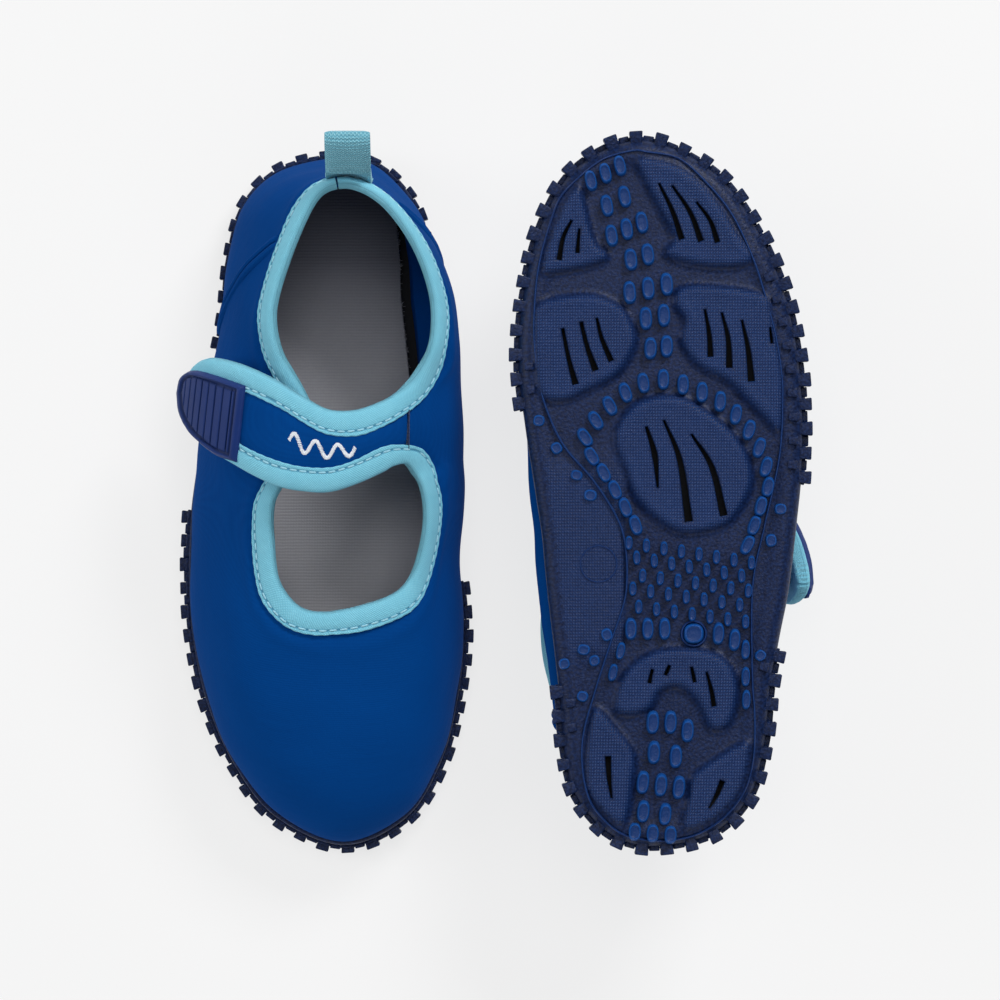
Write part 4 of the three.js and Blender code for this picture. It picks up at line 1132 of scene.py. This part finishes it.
def ridge(skin, line, heights, wide, tall):
    """A thin closed ridge that follows a line on the tread."""
    along = unit(np.roll(line, -1, 0) - np.roll(line, 1, 0))
    side = np.stack([-along[:, 1], along[:, 0]], 1)
    section = [(-0.7, 0.3), (-0.5, -0.35), (-0.2, -0.85), (0.2, -0.85), (0.5, -0.35), (0.7, 0.3)]
    rings = np.stack([np.c_[line + side * a * wide, heights + b * tall] for a, b in section], 1)
    return skin.add(rings, [grid(len(line), len(section), wrap_columns=True, wrap_rows=True)])


def sole_lines(shoe, looks):
    """The rib line round the tread, a moulded ring on the arch and one round the boss."""
    line = closed_spline(RIB)(np.linspace(0, len(RIB), 540, endpoint=False))
    skin = ridge(Skin(), line, np.maximum(bevel_height(line), TREAD_Z) - 0.15, 0.42, 0.7)
    turn = np.linspace(0, 2 * math.pi, 96, endpoint=False)
    circle = np.stack([np.cos(turn), np.sin(turn)], 1)
    for centre, radius, height, size in ((MOULD_RING, 4.6, TREAD_Z + 0.1, 0.3), (BOSS, 3.1, TREAD_Z, 0.5)):
        ridge(skin, np.array(centre) + radius * circle, np.full(len(circle), height), size, size)
    add_piece(shoe, "sole_rib_lines", skin, [looks["stud_rubber"]])


def rounded_block(size):
    """A bevelled block that narrows outwards: its points and its faces by number of corners."""
    work = bmesh.new()
    bmesh.ops.create_cube(work, size=1)
    for v in work.verts:
        v.co = Vector([a * b for a, b in zip(v.co, size)])
    bmesh.ops.bevel(work, geom=work.edges[:], offset=LUG_BEVEL, segments=3, profile=0.6, affect="EDGES")
    work.verts.ensure_lookup_table()
    work.verts.index_update()
    points = np.array([tuple(v.co) for v in work.verts])
    faces = {}
    for face in work.faces:
        faces.setdefault(len(face.verts), []).append([v.index for v in face.verts])
    work.free()
    outwards = np.clip(0.5 - points[:, 0] / size[0], 0, 1)
    points[:, 1:] *= (1 - 0.22 * outwards)[:, None]
    return points, [np.array(block) for block in faces.values()]


def lug_stations(shift):
    """Stations of the lugs, moved by a share of their pitch."""
    found = []
    for start, end in LUG_SPANS:
        fine = np.linspace(start, end, 1500)
        walked = walk(rim_curve(fine))
        marks = np.arange(shift * LUG_PITCH, walked[-1], LUG_PITCH)
        found += list(np.interp(marks, walked, fine))
    return np.array(found)


def lugs(shoe, looks):
    """Rows of rounded blocks round the rim, each a little uneven."""
    skin = Skin()
    rng = np.random.default_rng(43)
    # Each row's stations, size of its blocks (out, along, up), inset and height.
    rows = [
        (lug_stations(0), (LUG_OUT + 1.5, 3.5, LUG_HIGH - 2.3), -(LUG_OUT - 1.5) / 2,
         (LUG_HIGH + 2.5) / 2),
        (lug_stations(0), (2.0, 4.1, 3.4), 0.25, 6.4),
        (lug_stations(0.5), (2.4, 2.5, 2.4), 2.65, 1.65),
        (lug_stations(0.5), (2.8, 2.9, 3.1), 0.15, 6.3),
    ]
    rib = closed_spline(RIB)(np.linspace(0, len(RIB), 180, endpoint=False))
    for stations, size, inset, height in rows:
        points, blocks = rounded_block(size)
        for station in stations:
            out = rim_out(station)
            centre = rim_point(station, inset, height)
            if inset > 2 and distance_inside(centre[None], rib)[0] > -1.9:
                continue  # no block may sit on the rib line
            wobble = 1 + rng.uniform(-0.09, 0.09, 3)
            p = points * wobble
            x = p[:, 0] * out[0] - p[:, 1] * out[1] + centre[0]
            y = p[:, 0] * out[1] + p[:, 1] * out[0] + centre[1]
            skin.add(np.c_[x, y, p[:, 2] + centre[2]], blocks, 0, np.c_[x, y, 0 * x])
    add_piece(shoe, "sole_lugs", skin, [looks["rubber"]])


# ---- materials ----

def colour(red, green, blue):
    """An sRGB colour, 0 to 255, as the linear one that Blender takes."""
    def linear(c):
        c /= 255
        return c / 12.92 if c <= 0.04045 else ((c + 0.055) / 1.055) ** 2.4
    return (linear(red), linear(green), linear(blue), 1)


def principled(material):
    material.use_nodes = True
    return next(n for n in material.node_tree.nodes if n.type == "BSDF_PRINCIPLED")


class Look:
    """A material under construction."""

    def __init__(self, name, roughness, **fixed):
        self.material = bpy.data.materials.new(name)
        self.shader = principled(self.material)
        self.tree = self.material.node_tree
        self.shader.inputs["Roughness"].default_value = roughness
        for key, value in fixed.items():
            self.shader.inputs[key.replace("_", " ")].default_value = value
        self.place = self.node("ShaderNodeAttribute", attribute_name="weave").outputs["Vector"]
        self.bumped = None

    def node(self, kind, inputs=None, **settings):
        node = self.tree.nodes.new(kind)
        for key, value in settings.items():
            setattr(node, key, value)
        for key, value in (inputs or {}).items():
            if isinstance(value, bpy.types.NodeSocket):
                self.tree.links.new(value, node.inputs[key])
            else:
                node.inputs[key].default_value = value
        return node

    def math(self, operation, a, b=0.0, c=0.0):
        return self.node("ShaderNodeMath", {0: a, 1: b, 2: c}, operation=operation).outputs[0]

    def part(self, index):
        split = self.node("ShaderNodeSeparateXYZ", {0: self.place})
        return split.outputs[index]

    def noise(self, scale, detail):
        inputs = {"Vector": self.place, "Scale": scale, "Detail": detail}
        return self.node("ShaderNodeTexNoise", inputs).outputs[0]

    def ramp(self, value, from_low, from_high, to_low, to_high):
        inputs = {"Value": value, "From Min": from_low, "From Max": from_high, "To Min": to_low,
                  "To Max": to_high}
        return self.node("ShaderNodeMapRange", inputs).outputs[0]

    def times(self, a, b):
        return self.math("MULTIPLY", a, b)

    def lines(self, value, period):
        """A wave between 0 and 1 of the given period."""
        turns = self.times(value, 2 * math.pi / period)
        return self.math("MULTIPLY_ADD", self.math("SINE", turns), 0.5, 0.5)

    def blend(self, factor, a, b):
        node = self.node("ShaderNodeMix", {0: factor, 6: a, 7: b}, data_type="RGBA")
        return node.outputs[2]

    def paint(self, socket):
        self.tree.links.new(socket, self.shader.inputs["Base Color"])

    def bump(self, height, distance, strength=1.0):
        inputs = {"Height": height, "Distance": distance * MM, "Strength": strength}
        if self.bumped:
            inputs["Normal"] = self.bumped
        self.bumped = self.node("ShaderNodeBump", inputs).outputs[0]
        self.tree.links.new(self.bumped, self.shader.inputs["Normal"])

    def roughen(self, factor, low, high):
        self.tree.links.new(self.ramp(factor, 0, 1, low, high), self.shader.inputs["Roughness"])


def neoprene_look():
    look = Look("jersey_faced_neoprene", 0.85, Specular_IOR_Level=0.04)
    courses, wales = look.lines(look.part(1), 0.56), look.lines(look.part(0), 0.5)
    knit = look.times(courses, look.math("MULTIPLY_ADD", wales, 0.12, 0.88))
    base = look.blend(look.noise(0.05, 4), colour(0, 57, 124), colour(0, 67, 139))
    knitted = look.blend(look.times(knit, 0.14), base, colour(4, 80, 154))
    look.paint(look.blend(look.times(look.noise(2.2, 2), 0.3), knitted, colour(0, 46, 100)))
    look.bump(knit, 0.02, 0.6)
    look.bump(look.noise(2.6, 2), 0.06, 0.6)
    look.bump(look.noise(0.3, 3), 0.35, 0.35)
    return look.material


def tape_look():
    look = Look("knitted_edge_tape", 0.8, Sheen_Weight=0.05, Specular_IOR_Level=0.2)
    along, across = look.part(0), look.part(1)
    a = look.lines(look.math("ADD", along, across), 0.62)
    b = look.lines(look.math("SUBTRACT", along, across), 0.62)
    knit = look.times(a, b)
    base = look.blend(look.noise(0.25, 4), colour(105, 186, 212), colour(124, 199, 222))
    mesh = look.blend(look.times(knit, 0.65), base, colour(168, 228, 241))
    off_line = look.math("ABSOLUTE", look.math("SUBTRACT", across, TAPE_WIDE - STITCH_FROM_BORDER))
    # The seam sinks; the tape beside its stitches is painted darker, as painted shade.
    seam = look.ramp(off_line, 0.2, 0.5, 0.75, 0)
    look.paint(look.blend(seam, mesh, colour(52, 122, 156)))
    look.bump(knit, 0.1, 0.9)
    look.bump(look.noise(0.9, 2), 0.14, 0.6)
    return look.material


def thread_look(name, tone, shade):
    look = Look(name, 0.55, Sheen_Weight=0.15)
    twist = look.lines(look.math("ADD", look.part(0), look.part(1)), 0.3)
    look.paint(look.blend(twist, tone, shade))
    look.bump(twist, 0.03, 0.6)
    return look.material


def webbing_look():
    look = Look("woven_heel_webbing", 0.65, Sheen_Weight=0.2, Specular_IOR_Level=0.35)
    along, across = look.part(0), look.part(1)
    zigzag = look.math("PINGPONG", across, 0.5)
    twill = look.lines(look.math("ADD", along, zigzag), 0.72)
    ends = look.lines(across, 0.55)
    weave = look.times(twill, look.math("MULTIPLY_ADD", ends, 0.5, 0.5))
    look.paint(look.blend(weave, colour(84, 154, 176), colour(146, 208, 223)))
    look.bump(weave, 0.16, 0.9)
    return look.material


def rubber_look(name, dark, light, accent, strength, gloss, woven):
    """Moulded rubber; the weave's third number says where its grain or its stud faces are."""
    look = Look(name, 0.5, Specular_IOR_Level=0.22)
    base = look.blend(look.noise(0.12, 4), dark, light)
    net = look.part(2)
    if woven:
        a, b = look.lines(look.part(0), 0.7), look.lines(look.part(1), 0.78)
        speck = look.ramp(look.noise(1.3, 4), 0.4, 0.64, 0, 1)
        plain = look.blend(speck, colour(8, 22, 54), colour(20, 40, 82))
        base = look.blend(net, plain, base)
        net = look.times(look.times(a, b), net)
        look.bump(net, 0.22, 0.9)
    look.paint(look.blend(look.times(net, strength), base, accent))
    look.bump(look.noise(1.5, 4), 0.22, 0.8)
    look.roughen(look.noise(0.6, 4), *gloss)
    return look.material


def tab_look():
    look = Look("moulded_tab_rubber", 0.5, Specular_IOR_Level=0.18)
    tone = look.blend(look.noise(0.2, 4), colour(21, 44, 100), colour(27, 52, 113))
    # The grooves and the moat are painted darker: painted shade in the recesses.
    look.paint(look.blend(look.times(look.part(2), 0.7), tone, colour(12, 28, 66)))
    look.bump(look.noise(3.5, 3), 0.03, 0.5)
    look.roughen(look.noise(0.8, 3), 0.45, 0.6)
    return look.material


def insole_look():
    look = Look("ribbed_insole_textile", 0.9, Sheen_Weight=0.1, Specular_IOR_Level=0.2)
    wander = look.times(look.noise(0.5, 2), 0.35)
    ribs = look.lines(look.math("ADD", look.part(1), wander), 0.8)
    ends = look.lines(look.part(0), 0.7)
    weave = look.times(ribs, look.math("MULTIPLY_ADD", ends, 0.35, 0.65))
    base = look.blend(look.noise(0.04, 3), colour(164, 163, 168), colour(182, 181, 185))
    speckled = look.blend(look.times(look.noise(1.4, 3), 0.35), base, colour(128, 128, 134))
    lit = look.blend(look.times(weave, 0.45), speckled, colour(186, 185, 188))
    # painted shade: the insole is painted darker towards the heel, where the heel's wall shades it
    painted_heel_shade = look.ramp(look.part(1), -20, -64, 0, 0.82)  # darker towards the heel
    look.paint(look.blend(painted_heel_shade, lit, colour(58, 60, 72)))
    look.bump(weave, 0.07, 0.8)
    return look.material


def rough_look(name, roughness, grain, dark, light, pits, relief, **fixed):
    """A dull fibrous or cast surface: grain tones it, pits and relief are its bump."""
    look = Look(name, roughness, **fixed)
    look.paint(look.blend(look.noise(*grain), dark, light))
    look.bump(look.noise(*pits), *relief)
    return look.material


def make_looks():
    return {
        "neoprene": neoprene_look(),
        "tape": tape_look(),
        "thread": thread_look("tape_thread", colour(138, 200, 220), colour(172, 220, 234)),
        "white_thread": thread_look("embroidery_thread", colour(214, 220, 230), colour(246, 248, 250)),
        "blue_thread": thread_look("seam_thread", colour(2, 22, 58), colour(6, 36, 82)),
        "fuzz": thread_look("insole_fuzz", colour(96, 96, 104), colour(140, 140, 146)),
        "webbing": webbing_look(),
        "rubber": rubber_look("sole_rubber", colour(9, 28, 68), colour(16, 42, 90),
                              colour(52, 86, 144), 0.6, (0.36, 0.52), True),
        "stud_rubber": rubber_look("stud_rubber", colour(10, 66, 136), colour(18, 78, 150),
                                   colour(17, 46, 98), 0.9, (0.35, 0.5), False),
        "tab": tab_look(),
        "insole": insole_look(),
        "patch": rough_look("hook_and_loop_pile", 0.95, (1.6, 5), colour(14, 34, 74), colour(34, 62, 112),
                            (1.6, 5), (0.35, 1.0), Sheen_Weight=0.4),
        "board": rough_look("fibre_board", 0.92, (0.9, 4), colour(9, 10, 14), colour(24, 26, 32),
                            (0.9, 4), (0.1, 0.6)),
        # the slits' walls are painted near black: painted shade inside the narrow slits
        "slit": rough_look("slit_wall_painted_shade", 0.9, (0.8, 3), colour(4, 7, 16), colour(9, 14, 30),
                           (2.0, 3), (0.05, 0.5)),
    }


# ---- the studio ----

# The camera in metres: how high it is, what it stands over, and its focal length in millimetres.
CAMERA_HIGH = 1.4
CAMERA_OVER = (0.001565, -0.00065)
CAMERA_LENS = 190.9
PAPER_GLOW = 0.74  # the paper's own light, which keeps the ground near white


def aim(thing, target):
    thing.rotation_euler = (Vector(target) - thing.location).to_track_quat("-Z", "Y").to_euler()


def area_light(name, place, target, size, power):
    data = bpy.data.lights.new(name, "AREA")
    data.shape = "RECTANGLE"
    data.size, data.size_y = size
    data.energy = power
    light = bpy.data.objects.new(name, data)
    light.location = place
    aim(light, target)
    bpy.context.scene.collection.objects.link(light)


def studio():
    """White paper lit from above, and a camera that looks straight down from CAMERA_HIGH."""
    data = bpy.data.cameras.new("camera")
    data.sensor_width, data.lens = 36, CAMERA_LENS
    camera = bpy.data.objects.new("camera", data)
    camera.location = (*CAMERA_OVER, CAMERA_HIGH)
    bpy.context.scene.collection.objects.link(camera)
    bpy.context.scene.camera = camera
    bpy.ops.mesh.primitive_plane_add(size=8, location=(0, 0, 0))
    floor = bpy.context.object
    floor.name = "studio_floor"
    paper = bpy.data.materials.new("studio_paper")
    shader = principled(paper)
    for name, value in (("Base Color", (0.18, 0.18, 0.18, 1)), ("Roughness", 0.8),
                        ("Specular IOR Level", 0.1), ("Emission Color", (1, 1, 1, 1)),
                        ("Emission Strength", PAPER_GLOW)):
        shader.inputs[name].default_value = value
    floor.data.materials.append(paper)
    area_light("overhead", (0.1, 0.4, 1.5), (0, 0, 0), (0.9, 0.7), 6)
    area_light("key", (0.7, 1.1, 1.0), (0, 0, 0.02), (0.6, 0.45), 18)
    area_light("left_bank", (-1.3, 0.2, 0.65), (0, 0, 0.02), (0.6, 1.0), 7)
    area_light("toe_bank", (0.0, -1.3, 0.7), (0, 0, 0.02), (1.0, 0.5), 5)
    world = bpy.data.worlds.new("studio")
    world.use_nodes = True
    background = next(n for n in world.node_tree.nodes if n.type == "BACKGROUND")
    background.inputs["Color"].default_value = (0.95, 0.97, 1, 1)
    background.inputs["Strength"].default_value = 0.16
    bpy.context.scene.world = world
    bpy.context.scene.view_settings.view_transform = "Standard"


studio()
looks = make_looks()
ribbon = Ribbon()
for side in ("right", "left"):
    shoe = Shoe(side)
    sole_body(shoe, looks)
    studs(shoe, looks)
    sole_lines(shoe, looks)
    lugs(shoe, looks)
    insole(shoe, looks)
    board(shoe, looks)
    upper_pieces(shoe, looks)
    heel_seams(shoe, looks)
    tapes(shoe, looks, ribbon)
    strap_pieces(shoe, looks)
    strap_seam(shoe, looks)
    ornament(shoe, looks)
    pull_tab(shoe, looks)
    patches(shoe, looks)
    heel_loop(shoe, looks)
    heel_loop_root(shoe, looks)
